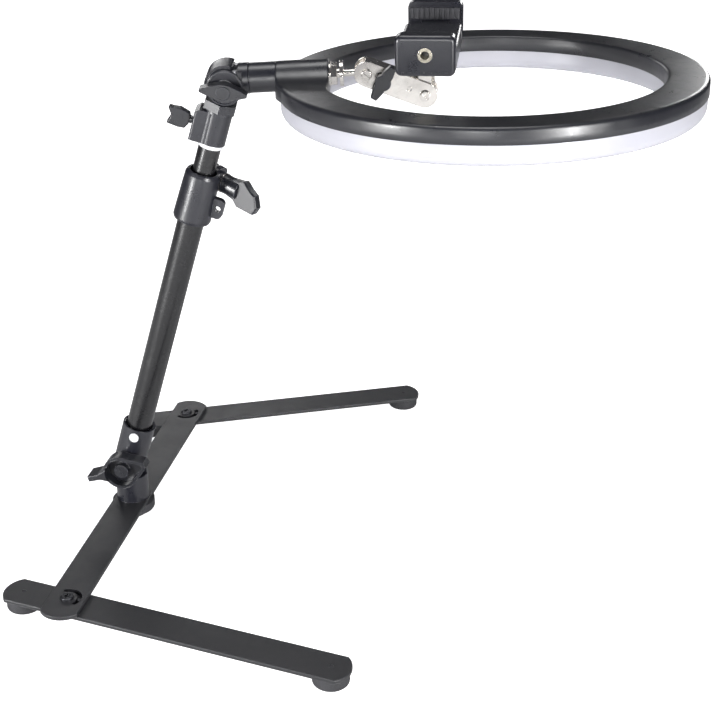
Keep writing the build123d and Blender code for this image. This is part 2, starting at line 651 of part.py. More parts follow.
# (x, distance along the column) of the corner cut off the boss
BOSS_SLOPE = (
    (-11.6, HEAD_S1), (-14.5, HEAD_S1 - 2.4), (-14.5, HEAD_S1 + 1), (-11.6, HEAD_S1 + 1),
)
FLANGE_R, FLANGE_T = 9.8, 1.6
HEX_R = 11.3            # faceted knuckle foot, to its corners
BARREL_R = 11.2
BARREL_W = 11.0         # half width
HEX_S1 = ELBOW_S - BARREL_R - 0.4
TONGUE_R = 8.0
TONGUE_W = 4.6          # half thickness of the tongue
TONGUE_H = 5.0          # half width of the tongue's stem
ELBOW_BOLT_R = 2.5
THUMB_R = 2.0
with BuildPart() as head_socket:
    with BuildSketch(HEAD.offset(HEAD_S0)):
        Circle(HEAD_R)
        with Locations((BOSS_X, 0)):
            RectangleRounded(BOSS_L, BOSS_W, BOSS_ROUND)
        with Locations((FAIRING_X, 0)):
            Circle(FAIRING_R)
    extrude(amount=HEAD_S1 - HEAD_S0)
    # sloped top of the boss
    with BuildSketch(side(HEAD).offset(-12)):
        with BuildLine():
            Polyline(*BOSS_SLOPE, close=True)
        make_face()
    extrude(amount=24, mode=Mode.SUBTRACT)
    with BuildSketch(HEAD.offset(HEAD_S1)):
        Circle(FLANGE_R)
    extrude(amount=FLANGE_T)
    # faceted knuckle foot, one corner to the front
    with BuildSketch(HEAD.offset(HEAD_S1 + FLANGE_T)):
        RegularPolygon(HEX_R, 6, rotation=30)
    extrude(amount=HEX_S1 - HEAD_S1 - FLANGE_T)
    # tongue
    with BuildSketch(KNUCKLE.offset(-TONGUE_W)):
        Circle(TONGUE_R)
        with Locations((0, -(ELBOW_S - HEX_S1) / 2)):
            Rectangle(2 * TONGUE_H, ELBOW_S - HEX_S1 + 0.2)
    extrude(amount=2 * TONGUE_W)
    with BuildSketch(KNUCKLE.offset(-20)):
        Circle(ELBOW_BOLT_R + CLEARANCE)
    extrude(amount=40, mode=Mode.SUBTRACT)
    # bore, a little deeper than the end of the inner tube
    with BuildSketch(HEAD.offset(HEAD_S0)):
        Circle(INNER_R + CLEARANCE)
    extrude(amount=INNER_S1 - HEAD_S0 + 0.4, mode=Mode.SUBTRACT)
    with BuildSketch(THUMB):
        Circle(THUMB_R + CLEARANCE)
    extrude(amount=20, mode=Mode.SUBTRACT)
save(head_socket, "head_socket")

THUMB_T, THUMB_EDGE = 5.2, 0.5
THUMB_TIP = INNER_R + 0.1       # shank's inner end
THUMB_SHANK_END = 17.6
THUMB_NECK_R, THUMB_NECK_Z, THUMB_NECK_L = 2.5, 14.6, 3.2
# flared thumb piece: (outward, along the column)
THUMB_OUTLINE = (
    (15.8, 1.6), (17.0, 4.2), (23.0, 6.0), (27.2, 5.4), (30.3, 5.4), (30.5, 4.4),
    (27.8, 0.2), (29.6, -4.9), (29.0, -5.7), (22.1, -6.4), (18.2, -6.0), (16.2, -2.6),
)
with BuildPart() as head_thumbscrew:
    with BuildSketch(place(THUMB, (-THUMB_T / 2, 0, 0), x=(0, 0, 1), z=(1, 0, 0))):
        with BuildLine():
            Polyline(*THUMB_OUTLINE, close=True)
        make_face()
    extrude(amount=THUMB_T)
    for end in (0, -1):
        thumb_faces = head_thumbscrew.faces().sort_by(lambda face: local_centre(face, THUMB).X)
        chamfer(thumb_faces[end].edges(), THUMB_EDGE)
    with BuildSketch(THUMB.offset(THUMB_TIP)):
        Circle(THUMB_R)
    extrude(amount=THUMB_SHANK_END - THUMB_TIP)
    with BuildSketch(THUMB.offset(THUMB_NECK_Z)):
        Circle(THUMB_NECK_R)
    extrude(amount=THUMB_NECK_L)
save(head_thumbscrew, "head_thumbscrew")

SLEEVE_X = 14.7         # positions along the neck are from the elbow
SLEEVE_X0, SLEEVE_R = 8.6, 9.55
NECK_BORE_X = 8.9       # floor of the sleeve's bore
SPIGOT_R = 7.9          # stepped ends of the neck tube
BARREL_ROUND = 0.8
ROOT_L, ROOT_H, ROOT_W, ROOT_Z = 11.0, 15.0, 19.2, 1.0      # block between barrel and sleeve
HOOD_R = 12.9           # hood over the barrel, and its end angles
HOOD_A0, HOOD_A1 = 64.0, 178.0
HOOD_FRONT = 7.0        # hood's front end from the middle
TONGUE_ROOM_W, TONGUE_ROOM_R = 4.8, 8.5     # half width and radius
TONGUE_ROOM_A0, TONGUE_ROOM_A1 = 168, 322   # angles left open for the stem
RIM_R, RIM_DEPTH = 9.9, 0.8     # recess in the barrel's front face
ROOT_SCREW_X = 6.6
ROOT_SCREW_PLACES = ((0, -7.2), (0, 7.2))
ROOT_SCREW_R, ROOT_SCREW_Z, ROOT_SCREW_L = 1.0, 5.0, 3.6
ROOT_HEAD_Z, ROOT_HEAD_R, ROOT_HEAD_H, ROOT_HEAD_ROUND = 8.5, 1.8, 1.2, 0.5
ROOT_SINK_R = 2.1       # counterbore round each head
with BuildPart() as elbow_barrel:
    with BuildSketch(ELBOW_SIDE.offset(-BARREL_W)):
        Circle(BARREL_R)
    extrude(amount=2 * BARREL_W)
    fillet(elbow_barrel.edges().filter_by(GeomType.CIRCLE), BARREL_ROUND)
    # root block and sleeve
    with BuildSketch(ELBOW_SIDE.offset(-ROOT_W / 2)):
        with Locations((ROOT_L / 2, ROOT_Z)):
            Rectangle(ROOT_L, ROOT_H)
    extrude(amount=ROOT_W)
    with BuildSketch(end_on(NECK, SLEEVE_X0)):
        Circle(SLEEVE_R)
    extrude(amount=SLEEVE_X - SLEEVE_X0)
    # hood over the top and the side away from the neck
    with BuildSketch(ELBOW_SIDE.offset(-BARREL_W)):
        with BuildLine():
            sector(HOOD_R, HOOD_A0, HOOD_A1)
        make_face()
    extrude(amount=BARREL_W + HOOD_FRONT)
    # room for the tongue
    with BuildSketch(ELBOW_SIDE.offset(-TONGUE_ROOM_W)):
        Circle(TONGUE_ROOM_R)
        with BuildLine():
            sector(20, TONGUE_ROOM_A0, TONGUE_ROOM_A1)
        make_face()
    extrude(amount=2 * TONGUE_ROOM_W, mode=Mode.SUBTRACT)
    # rimmed front face
    with BuildSketch(ELBOW_SIDE.offset(BARREL_W - RIM_DEPTH)):
        Circle(RIM_R)
    extrude(amount=5, mode=Mode.SUBTRACT)
    with BuildSketch(ELBOW_SIDE.offset(-20)):
        Circle(ELBOW_BOLT_R)
    extrude(amount=40, mode=Mode.SUBTRACT)
    with BuildSketch(end_on(NECK, NECK_BORE_X)):
        Circle(SPIGOT_R)
    extrude(amount=10, mode=Mode.SUBTRACT)
    for height, radius in ((ROOT_SCREW_Z, ROOT_SCREW_R), (ROOT_HEAD_Z, ROOT_SINK_R)):
        with BuildSketch(place(ELBOW, (ROOT_SCREW_X, 0, height))):
            with Locations(*ROOT_SCREW_PLACES):
                Circle(radius)
        extrude(amount=10, mode=Mode.SUBTRACT)
save(elbow_barrel, "elbow_barrel")

with BuildPart() as root_screws:
    with BuildSketch(place(ELBOW, (ROOT_SCREW_X, 0, ROOT_HEAD_Z))):
        with Locations(*ROOT_SCREW_PLACES):
            Circle(ROOT_HEAD_R)
    extrude(amount=ROOT_HEAD_H)
    fillet(root_screws.faces().sort_by(lambda face: face.center().dot(ELBOW.z_dir))[-2:].edges(),
           ROOT_HEAD_ROUND)
    with BuildSketch(place(ELBOW, (ROOT_SCREW_X, 0, ROOT_SCREW_Z))):
        with Locations(*ROOT_SCREW_PLACES):
            Circle(ROOT_SCREW_R)
    extrude(amount=ROOT_SCREW_L)
save(root_screws, "root_screws")

# Bolt from the back, with its free end in the wing nut at the front
ELBOW_HEAD_R, ELBOW_HEAD_H, ELBOW_HEAD_ROUND = 4.2, 3.0, 1.0
ELBOW_BOLT_FRONT = 19.0
with BuildPart() as elbow_bolt:
    with BuildSketch(ELBOW_SIDE.offset(-BARREL_W - ELBOW_HEAD_H)):
        Circle(ELBOW_HEAD_R)
    extrude(amount=ELBOW_HEAD_H)
    fillet(elbow_bolt.edges().filter_by(GeomType.CIRCLE)
           .sort_by(lambda edge: edge.center().Y)[-1], ELBOW_HEAD_ROUND)
    with BuildSketch(ELBOW_SIDE.offset(-BARREL_W)):
        Circle(ELBOW_BOLT_R)
    extrude(amount=BARREL_W + ELBOW_BOLT_FRONT)
save(elbow_bolt, "elbow_bolt")

ELBOW_WASHER_R, ELBOW_WASHER_T = 5.4, 1.2
save_tube("elbow_washer", ELBOW_SIDE.offset(BARREL_W - RIM_DEPTH), ELBOW_WASHER_R,
          ELBOW_BOLT_R, ELBOW_WASHER_T)

WING_NUT = turn(ELBOW_SIDE, -11.0).offset(BARREL_W)
WING_FOOT_R, WING_FOOT_Z, WING_FOOT_H = 5.0, 0.45, 3.0
WINGS_Z, WINGS_H = 2.0, 7.6
WING_CAP_R, WING_CAP_Z, WING_CAP_H = 4.1, 9.5, 0.9
WING_BORE_H = 8.1
WING_TIP = 14.6
# upper side of the wings, left to right
WING_CURVE = ((-13.9, 1.2), (-6.5, 3.8), (0, 5.2), (6.5, 3.8), (13.9, 1.2))
with BuildPart() as elbow_wing_nut:
    with BuildSketch(WING_NUT.offset(WING_FOOT_Z)):
        Circle(WING_FOOT_R)
    extrude(amount=WING_FOOT_H)
    with BuildSketch(WING_NUT.offset(WINGS_Z)):
        with BuildLine():
            # each side, then the rounded tip that follows it
            for sign in (1, -1):
                curve = [(sign * x, sign * y) for x, y in WING_CURVE]
                end_x, end_y = curve[-1]
                Spline(*curve)
                ThreePointArc((end_x, end_y), (sign * WING_TIP, 0), (end_x, -end_y))
        make_face()
    extrude(amount=WINGS_H)
    with BuildSketch(WING_NUT.offset(WING_CAP_Z)):
        Circle(WING_CAP_R)
    extrude(amount=WING_CAP_H)
    with BuildSketch(WING_NUT):
        Circle(ELBOW_BOLT_R + CLEARANCE)
    extrude(amount=WING_BORE_H, mode=Mode.SUBTRACT)
save(elbow_wing_nut, "elbow_wing_nut")

NECK_R, NECK_EDGE_R, NECK_BORE_R = 9.25, 8.9, 6.3
NECK_X0, NECK_X1 = 9.0, 40.0
HUMP_R = 9.4            # hump on the ring that takes the neck
HUMP_X0, HUMP_X1 = 31.8, 63.7
# (position along the neck, radius)
NECK_PROFILE = (
    (NECK_X0, NECK_BORE_R), (NECK_X0, SPIGOT_R), (SLEEVE_X + 0.1, SPIGOT_R),
    (SLEEVE_X + 0.1, NECK_EDGE_R), (SLEEVE_X + 0.5, NECK_R), (HUMP_X0 - 0.5, NECK_R),
    (HUMP_X0 - 0.1, NECK_EDGE_R), (HUMP_X0 - 0.1, SPIGOT_R), (NECK_X1, SPIGOT_R),
    (NECK_X1, NECK_BORE_R),
)
with BuildPart() as neck_tube:
    with BuildSketch(side(NECK)):
        with BuildLine():
            Polyline(*NECK_PROFILE, close=True)
        make_face()
    revolve(axis=Axis(NECK.origin, NECK.x_dir))
save(neck_tube, "neck_tube")

# =====================================================================
# Ring lamp
# =====================================================================
RING_AXIS = Axis(RING.origin, RING.z_dir)
SHELL_H, SHELL_H_IN = 9.8, 10.0     # outer and inner wall heights
SHELL_T = 2.0
PLATE_T = SHELL_T + 0.2
OUT_ROUND, OUT_ROUND_MID = 2.4, 0.7     # top corner: size and arc's middle point
IN_ROUND, IN_ROUND_MID = 1.6, 0.47
WEB_X = 98.9            # web's straight inner edge, from the ring centre
BOARD_H, BOARD_T = 10.6, 1.4    # depth of the board's top face; thickness
POST_R = 2.6
BOARD_SCREW_R = 1.1
STUD_R = 3.0
LEAD_X = 50.0           # where the power lead turns down
LEAD_HOLE_R = 1.8


def post_places():
    return PolarLocations(117.3, 8, start_angle=22.5)


with BuildPart() as ring_shell:
    with BuildSketch(side(RING)):
        with BuildLine():
            Line((RING_RO, -SHELL_H), (RING_RO, -OUT_ROUND))
            ThreePointArc((RING_RO, -OUT_ROUND), (RING_RO - OUT_ROUND_MID, -OUT_ROUND_MID),
                          (RING_RO - OUT_ROUND, 0))
            Line((RING_RO - OUT_ROUND, 0), (RING_RI + IN_ROUND, 0))
            ThreePointArc((RING_RI + IN_ROUND, 0), (RING_RI + IN_ROUND_MID, -IN_ROUND_MID),
                          (RING_RI, -IN_ROUND))
            Polyline((RING_RI, -IN_ROUND), (RING_RI, -SHELL_H_IN),
                     (RING_RI + SHELL_T, -SHELL_H_IN), (RING_RI + SHELL_T, -PLATE_T),
                     (RING_RO - SHELL_T, -PLATE_T), (RING_RO - SHELL_T, -SHELL_H),
                     (RING_RO, -SHELL_H))
        make_face()
    revolve(axis=RING_AXIS)
    # board posts
    with BuildSketch(RING.offset(-BOARD_H)):
        with post_places():
            Circle(POST_R)
    extrude(amount=BOARD_H - 1.0)
    # solid web across the inner edge, below the hump
    with BuildSketch(RING.offset(-SHELL_H)):
        Circle(RING_RI + 0.2)
        with Locations((-WEB_X - 20, 0)):
            Rectangle(40, 220, mode=Mode.INTERSECT)
    extrude(amount=SHELL_H - 0.3)
    # hump that carries the neck
    with BuildSketch(end_on(NECK, HUMP_X0)):
        Circle(HUMP_R)
    extrude(amount=HUMP_X1 - HUMP_X0)
    # stepped bore from the neck's end: radius, depth
    for radius, depth in (
        (SPIGOT_R, NECK_X1 + 0.2 - HUMP_X0),
        (NECK_BORE_R, 60.5 - HUMP_X0),
        (STUD_R, 60),
    ):
        with BuildSketch(end_on(NECK, HUMP_X0)):
            Circle(radius)
        extrude(amount=depth, mode=Mode.SUBTRACT)
    # flat seat for the stud washer
    with BuildSketch(end_on(NECK, HUMP_X1)):
        Circle(HUMP_R)
    extrude(amount=4, mode=Mode.SUBTRACT)
    # power lead hole and board screw pilots
    with BuildSketch(place(NECK, (LEAD_X, 0, -12.0))):
        Circle(LEAD_HOLE_R)
    extrude(amount=10, mode=Mode.SUBTRACT)
    with BuildSketch(RING.offset(-BOARD_H)):
        with post_places():
            Circle(BOARD_SCREW_R)
    extrude(amount=5.0, mode=Mode.SUBTRACT)
save(ring_shell, "ring_shell")

DIFF_H = 22.5
LIP_TOP = -6.5          # diffuser's lips reach up inside the shell
# corner arcs: (inset from the ring's edge, height above the diffuser's bottom)
OUTSIDE_ARC = ((0.7, 6.0), (2.46, 1.76), (6.7, 0))
CAVITY_ARC = ((3.4, 5.0), (4.3, 2.5), (6.8, 1.6))


def diffuser_arcs(arc):
    """A corner arc at the ring's outer edge and its mirror at the inner edge."""
    outer = [(RING_RO - inset, height - DIFF_H) for inset, height in arc]
    inner = [(RING_RI + inset, height - DIFF_H) for inset, height in arc]
    return outer, inner


out_arc, in_arc = diffuser_arcs(OUTSIDE_ARC)
out_cavity, in_cavity = diffuser_arcs(CAVITY_ARC)
lip_out = RING_RO - SHELL_T - CLEARANCE
lip_in = RING_RI + SHELL_T + CLEARANCE
seat_out = -SHELL_H - CLEARANCE
seat_in = -SHELL_H_IN - CLEARANCE
with BuildPart() as ring_diffuser:
    with BuildSketch(side(RING)):
        with BuildLine():
            Line((out_arc[0][0], seat_out), out_arc[0])
            ThreePointArc(*out_arc)
            Line(out_arc[-1], in_arc[-1])
            ThreePointArc(*in_arc[::-1])
            Polyline(in_arc[0], (in_arc[0][0], seat_in), (lip_in, seat_in), (lip_in, LIP_TOP),
                     (in_cavity[0][0], LIP_TOP), in_cavity[0])
            ThreePointArc(*in_cavity)
            Line(in_cavity[-1], out_cavity[-1])
            ThreePointArc(*out_cavity[::-1])
            Polyline(out_cavity[0], (out_cavity[0][0], LIP_TOP), (lip_out, LIP_TOP),
                     (lip_out, seat_out), (out_arc[0][0], seat_out))
        make_face()
    revolve(axis=RING_AXIS)
    # clear the hump
    with BuildSketch(end_on(NECK, 20)):
        Circle(HUMP_R + 0.2)
    extrude(amount=60, mode=Mode.SUBTRACT)
save(ring_diffuser, "ring_diffuser")

BOARD_RO, BOARD_RI = 126.0, 108.8
with BuildPart() as led_board:
    with BuildSketch(RING.offset(-BOARD_H - BOARD_T)):
        Circle(BOARD_RO)
        Circle(BOARD_RI, mode=Mode.SUBTRACT)
        with post_places():
            Circle(BOARD_SCREW_R, mode=Mode.SUBTRACT)
    extrude(amount=BOARD_T)
save(led_board, "led_board")

LED_ROWS = (112.8, 121.8)       # radii
LED_COUNT = 60          # in each row
LED_W, LED_T = 3.0, 0.8
with BuildPart() as led_chips:
    with BuildSketch(RING.offset(-BOARD_H - BOARD_T - LED_T)):
        for row in LED_ROWS:
            with PolarLocations(row, LED_COUNT, start_angle=3):
                Rectangle(LED_W, LED_W)
    extrude(amount=LED_T)
save(led_chips, "led_chips")

BOARD_HEAD_R, BOARD_HEAD_H, BOARD_SCREW_L = 2.0, 1.2, 5.6
with BuildPart() as board_screws:
    with BuildSketch(RING.offset(-BOARD_H - BOARD_T - BOARD_HEAD_H)):
        with post_places():
            Circle(BOARD_HEAD_R)
    extrude(amount=BOARD_HEAD_H)
    with BuildSketch(RING.offset(-BOARD_H - BOARD_T)):
        with post_places():
            Circle(BOARD_SCREW_R)
    extrude(amount=BOARD_SCREW_L)
save(board_screws, "board_screws")

LEAD_R, LEAD_BEND = 1.5, 3.5
LEAD_X0 = 12.0
LEAD_Z, LEAD_END_Z = -2.0, -11.1
with BuildPart() as power_lead:
    with BuildLine(side(NECK)):
        FilletPolyline((LEAD_X0, LEAD_Z), (LEAD_X, LEAD_Z), (LEAD_X, LEAD_END_Z),
                       radius=LEAD_BEND)
    with BuildSketch(place(NECK, (LEAD_X0, 0, LEAD_Z), x=(0, 1, 0), z=(1, 0, 0))):
        Circle(LEAD_R)
    sweep()
    # end cut flush with the board's top face
    with BuildSketch(RING.offset(-BOARD_H - 30)):
        Circle(140)
    extrude(amount=30, mode=Mode.SUBTRACT)
save(power_lead, "power_lead")

# =====================================================================
# Phone arm
# =====================================================================
EYE_R, EYE_W = 5.9, 8.2     # eye at each end of the link
LINK_PIVOT_R = 2.0
# position along the neck, radius, length
STUD_STEPS = ((56.5, STUD_R, 14.0), (70.3, 7.9, 2.1), (72.4, 2.2, ARM_X - 72.4 - 3.0))
with BuildPart() as arm_stud:
    for start, radius, length in STUD_STEPS:
        with BuildSketch(end_on(NECK, start)):
            Circle(radius)
        extrude(amount=length)
    with BuildSketch(side(ARM).offset(-EYE_W / 2)):
        Circle(EYE_R)
    extrude(amount=EYE_W)
    with BuildSketch(side(ARM).offset(-8)):
        Circle(LINK_PIVOT_R + CLEARANCE)
    extrude(amount=16, mode=Mode.SUBTRACT)
save(arm_stud, "arm_stud")

LOCKNUT_X, LOCKNUT_R, LOCKNUT_T = 57.4, 5.0, 3.1
STUD_WASHER_R, STUD_WASHER_T = 7.3, 1.2
STUD_NUT_R, STUD_NUT_T = 6.0, 3.6
save_nut("inner_locknut", end_on(NECK, LOCKNUT_X), LOCKNUT_R, STUD_R, LOCKNUT_T)
save_tube("stud_washer", end_on(NECK, HUMP_X1), STUD_WASHER_R, STUD_R, STUD_WASHER_T)
save_nut("stud_nut", end_on(NECK, HUMP_X1 + STUD_WASHER_T), STUD_NUT_R, STUD_R, STUD_NUT_T)

LINK_R = 7.7
LINK_Y0, LINK_Y1 = 4.2, 5.7     # cheek faces from the middle
LINK_ENDS = ((0, 0), (LINK_L, 0))
WEB_IN_R = LINK_R - 1.4
WEB_L, WEB_L_IN = 23.5, 22.0    # upper and lower ends of the web
WEB_A_MID, WEB_A_END = 104, 118     # web angles round the first pivot
ARM_KNOB_X = 10.5
ARM_BOLT_R = 1.75
DETENT_PLACE, DETENT_R, DETENT_DEPTH = (27.6, 0.6), 1.5, 0.6
with BuildPart() as link_channel:
    for cheek_start in (LINK_Y0, -LINK_Y1):
        with BuildSketch(LINK_SIDE.offset(cheek_start)):
            with Locations((LINK_L / 2, 0)):
                SlotCenterToCenter(LINK_L, 2 * LINK_R)
        extrude(amount=LINK_Y1 - LINK_Y0)
    # web along the upper edge
    with BuildSketch(LINK_SIDE.offset(-LINK_Y0)):
        with BuildLine():
            Line((0, LINK_R), (WEB_L, LINK_R))
            Line((WEB_L, LINK_R), (WEB_L_IN, WEB_IN_R))
            Line((WEB_L_IN, WEB_IN_R), (0, WEB_IN_R))
            ThreePointArc((0, WEB_IN_R), polar(WEB_IN_R, WEB_A_MID), polar(WEB_IN_R, WEB_A_END))
            Line(polar(WEB_IN_R, WEB_A_END), polar(LINK_R, WEB_A_END))
            ThreePointArc(polar(LINK_R, WEB_A_END), polar(LINK_R, WEB_A_MID), (0, LINK_R))
        make_face()
    extrude(amount=2 * LINK_Y0)
    with BuildSketch(LINK_SIDE.offset(-10)):
        with Locations(*LINK_ENDS):
            Circle(LINK_PIVOT_R)
        with Locations((ARM_KNOB_X, 0)):
            Circle(ARM_BOLT_R + CLEARANCE)
    extrude(amount=20, mode=Mode.SUBTRACT)
    # punched detent
    with BuildSketch(LINK_SIDE.offset(LINK_Y1 - DETENT_DEPTH)):
        with Locations(DETENT_PLACE):
            RegularPolygon(DETENT_R, 5)
    extrude(amount=2, mode=Mode.SUBTRACT)
save(link_channel, "link_channel")

RIVET_CAP_R, RIVET_CAP_ROUND = 3.3, 0.7
RIVET_BACK_H, RIVET_FRONT_H = 1.4, 1.6
GROOVE_W, GROOVE_L, GROOVE_ANGLE, GROOVE_Z = 1.0, 5.0, 70, 0.9      # across the front heads
with BuildPart() as link_rivets:
    for start, height in ((-LINK_Y1 - RIVET_BACK_H, RIVET_BACK_H), (LINK_Y1, RIVET_FRONT_H)):
        with BuildSketch(LINK_SIDE.offset(start)):
            with Locations(*LINK_ENDS):
                Circle(RIVET_CAP_R)
        extrude(amount=height)
    fillet(link_rivets.edges().filter_by(
        lambda edge: local_centre(edge, LINK_SIDE).Z > LINK_Y1 + RIVET_FRONT_H - 0.05),
        RIVET_CAP_ROUND)
    with BuildSketch(LINK_SIDE.offset(-LINK_Y1)):
        with Locations(*LINK_ENDS):
            Circle(LINK_PIVOT_R)
    extrude(amount=2 * LINK_Y1)
    with BuildSketch(LINK_SIDE.offset(LINK_Y1 + GROOVE_Z)):
        with Locations(*LINK_ENDS):
            Rectangle(GROOVE_W, GROOVE_L, rotation=GROOVE_ANGLE)
    extrude(amount=2, mode=Mode.SUBTRACT)
save(link_rivets, "link_rivets")

ARM_NUT_R, ARM_NUT_T = 2.9, 2.4
save_nut("arm_nut", LINK_SIDE.offset(-LINK_Y1 - ARM_NUT_T), ARM_NUT_R,
         ARM_BOLT_R + CLEARANCE, ARM_NUT_T, ((ARM_KNOB_X, 0),))

ARM_KNOB_GAP = 0.1
ARM_KNOB = turn(place(LINK_SIDE, (ARM_KNOB_X, 0, LINK_Y1 + ARM_KNOB_GAP)), 78.0)
ARM_FOOT_R, ARM_FOOT_H = 3.6, 2.2
ARM_GRIP_R, ARM_GRIP_H, ARM_GRIP_EDGE = 4.9, 4.8, 0.5
ARM_BOLT_IN = 5.2       # bolt end in the knob
GRIP_OUTLINE = (
    (0, 3.4), (6.0, 3.3), (11.4, 1.9), (11.6, -1.9), (6.0, -3.3), (0, -3.4),
    (-6.0, -3.3), (-11.4, -2.3), (-11.6, 1.5), (-6.0, 3.3),
)
with BuildPart() as arm_knob:
    with BuildSketch(ARM_KNOB):
        Circle(ARM_FOOT_R)
    extrude(amount=ARM_FOOT_H)
    with BuildSketch(ARM_KNOB.offset(ARM_FOOT_H)):
        Circle(ARM_GRIP_R)
        with BuildLine():
            Polyline(*GRIP_OUTLINE, close=True)
        make_face()
    extrude(amount=ARM_GRIP_H)
    chamfer(arm_knob.edges().filter_by(
        lambda edge: local_centre(edge, ARM_KNOB).Z > ARM_FOOT_H + ARM_GRIP_H - 0.1),
        ARM_GRIP_EDGE)
    with BuildSketch(ARM_KNOB):
        Circle(ARM_BOLT_R)
    extrude(amount=ARM_BOLT_IN, mode=Mode.SUBTRACT)
save(arm_knob, "arm_knob")

ARM_BOLT_BACK = 3.4     # bolt end behind the link
save_rod("arm_bolt", LINK_SIDE.offset(-LINK_Y1 - ARM_BOLT_BACK), ARM_BOLT_R,
         2 * LINK_Y1 + ARM_BOLT_BACK + ARM_KNOB_GAP + ARM_BOLT_IN, ((ARM_KNOB_X, 0),))

HOLDER_SIDE = side(HOLDER)
STEM_H, STEM_W = CLIP_UP - 3.6, 8.0
PLATE_R, PLATE_W, PLATE_Y, PLATE_THICK = 8.4, 13.0, 7.5, 1.5    # plate behind the eye
PLATE_HOLE_R = 3.7
TABLE_R, TABLE_T, TABLE_DOWN = 8.4, 2.4, 4.2    # disc under the clip
SWIVEL_R, SWIVEL_DOWN, SWIVEL_UP = 3.1, 2.0, 4.8
with BuildPart() as holder_bracket:
    with BuildSketch(HOLDER_SIDE.offset(-EYE_W / 2)):
        Circle(EYE_R)
        with Locations((0, STEM_H / 2)):
            Rectangle(STEM_W, STEM_H)
    extrude(amount=EYE_W)
    with BuildSketch(HOLDER_SIDE.offset(-PLATE_Y)):
        Circle(PLATE_R)
        with Locations((0, STEM_H / 2)):
            Rectangle(PLATE_W, STEM_H)
        Circle(PLATE_HOLE_R, mode=Mode.SUBTRACT)
    extrude(amount=PLATE_THICK)
    with BuildSketch(HOLDER.offset(CLIP_UP - TABLE_DOWN)):
        Circle(TABLE_R)
    extrude(amount=TABLE_T)
    with BuildSketch(HOLDER.offset(CLIP_UP - SWIVEL_DOWN)):
        Circle(SWIVEL_R)
    extrude(amount=SWIVEL_DOWN + SWIVEL_UP)
    with BuildSketch(HOLDER_SIDE.offset(-4.3)):
        Circle(LINK_PIVOT_R + CLEARANCE)
    extrude(amount=8.6, mode=Mode.SUBTRACT)
save(holder_bracket, "holder_bracket")

HOLDER_PAD_R, HOLDER_PAD_T = 8.0, 1.75
save_tube("holder_pad", HOLDER.offset(CLIP_UP - TABLE_DOWN + TABLE_T), HOLDER_PAD_R,
          SWIVEL_R, HOLDER_PAD_T)

# =====================================================================
# Phone clip
# =====================================================================
GAP = 68.0              # phone gap
PAD_T = 0.6             # pad backing, and the height of its ribs
FACE = GAP / 2 + 2 * PAD_T      # jaw face behind the pads
CLIP_W = 35.2
BASE_H, BASE_ROUND, BASE_Y = 13.0, 2.4, 20.0    # BASE_Y is the rear end
JAW_Z0, JAW_Z1 = -0.6, 23.4     # front jaw, heights on the clip
JAW_T, JAW_CORNER, JAW_ROUND = 9.4, 4.0, 2.6
SLIDE_Z = 8.2           # middle height of the slide and its pocket
POCKET_W, POCKET_H = 27.0, 5.6
INSERT_R, INSERT_Z = 4.3, 12.2
INSERT_L = 8.0          # tapped insert, 1/4 inch thread
INSERT_RI = 2.55
BOTTOM_INSERT_L = 5.0


def clip_plane(y):
    """Plane facing the front at a place across the clip; its y is up."""
    return side(CLIP, (0, y, 0))


INSERT_PLANE = clip_plane(-FACE - JAW_T + INSERT_L)
SWIVEL_PLANE = place(CLIP, (-CLIP_SET, 0, 0))
with BuildPart() as clip_body:
    with BuildSketch(clip_plane(BASE_Y)):
        with Locations((0, BASE_H / 2)):
            RectangleRounded(CLIP_W, BASE_H, BASE_ROUND)
    extrude(amount=BASE_Y + FACE)
    with BuildSketch(clip_plane(-FACE)):
        with Locations((0, (JAW_Z0 + JAW_Z1) / 2)):
            RectangleRounded(CLIP_W, JAW_Z1 - JAW_Z0, JAW_CORNER)
    extrude(amount=JAW_T)
    fillet(clip_body.faces().sort_by(lambda face: local_centre(face, CLIP).Y)[0].edges(),
           JAW_ROUND)
    # slide pocket, open toward the moving jaw
    with BuildSketch(clip_plane(BASE_Y + 1)):
        with Locations((0, SLIDE_Z)):
            Rectangle(POCKET_W, POCKET_H)
    extrude(amount=51.0, mode=Mode.SUBTRACT)
    with BuildSketch(INSERT_PLANE):
        with Locations((0, INSERT_Z)):
            Circle(INSERT_R)
    extrude(amount=10, mode=Mode.SUBTRACT)
    with BuildSketch(SWIVEL_PLANE):
        Circle(INSERT_R)
    extrude(amount=BOTTOM_INSERT_L, mode=Mode.SUBTRACT)
save(clip_body, "clip_body")

save_tube("thread_insert", INSERT_PLANE, INSERT_R, INSERT_RI, INSERT_L, ((0, INSERT_Z),))
save_tube("bottom_insert", SWIVEL_PLANE, INSERT_R, SWIVEL_R + CLEARANCE, BOTTOM_INSERT_L)


def save_pad(name, back_y, rib_y, z, size, rib_size, pitch_x, ribs):
    """Ribbed pad: a backing that starts at back_y and a row of ribs that starts at rib_y."""
    with BuildPart() as pad:
        with BuildSketch(clip_plane(back_y)):
            with Locations((0, z)):
                Rectangle(*size)
        extrude(amount=PAD_T)
        with BuildSketch(clip_plane(rib_y)):
            with Locations((0, z)):
                with GridLocations(pitch_x, 0, ribs, 1):
                    Rectangle(*rib_size)
        extrude(amount=PAD_T)
    save(pad, name)


save_pad("front_pad", back_y=-FACE + PAD_T, rib_y=-FACE + 2 * PAD_T, z=17.6,
         size=(28.0, 8.4), rib_size=(1.5, 8.0), pitch_x=3.0, ribs=9)
save_pad("rear_pad", back_y=FACE, rib_y=FACE - PAD_T, z=15.5,
         size=(30.6, 7.0), rib_size=(1.5, 6.8), pitch_x=3.2, ribs=10)

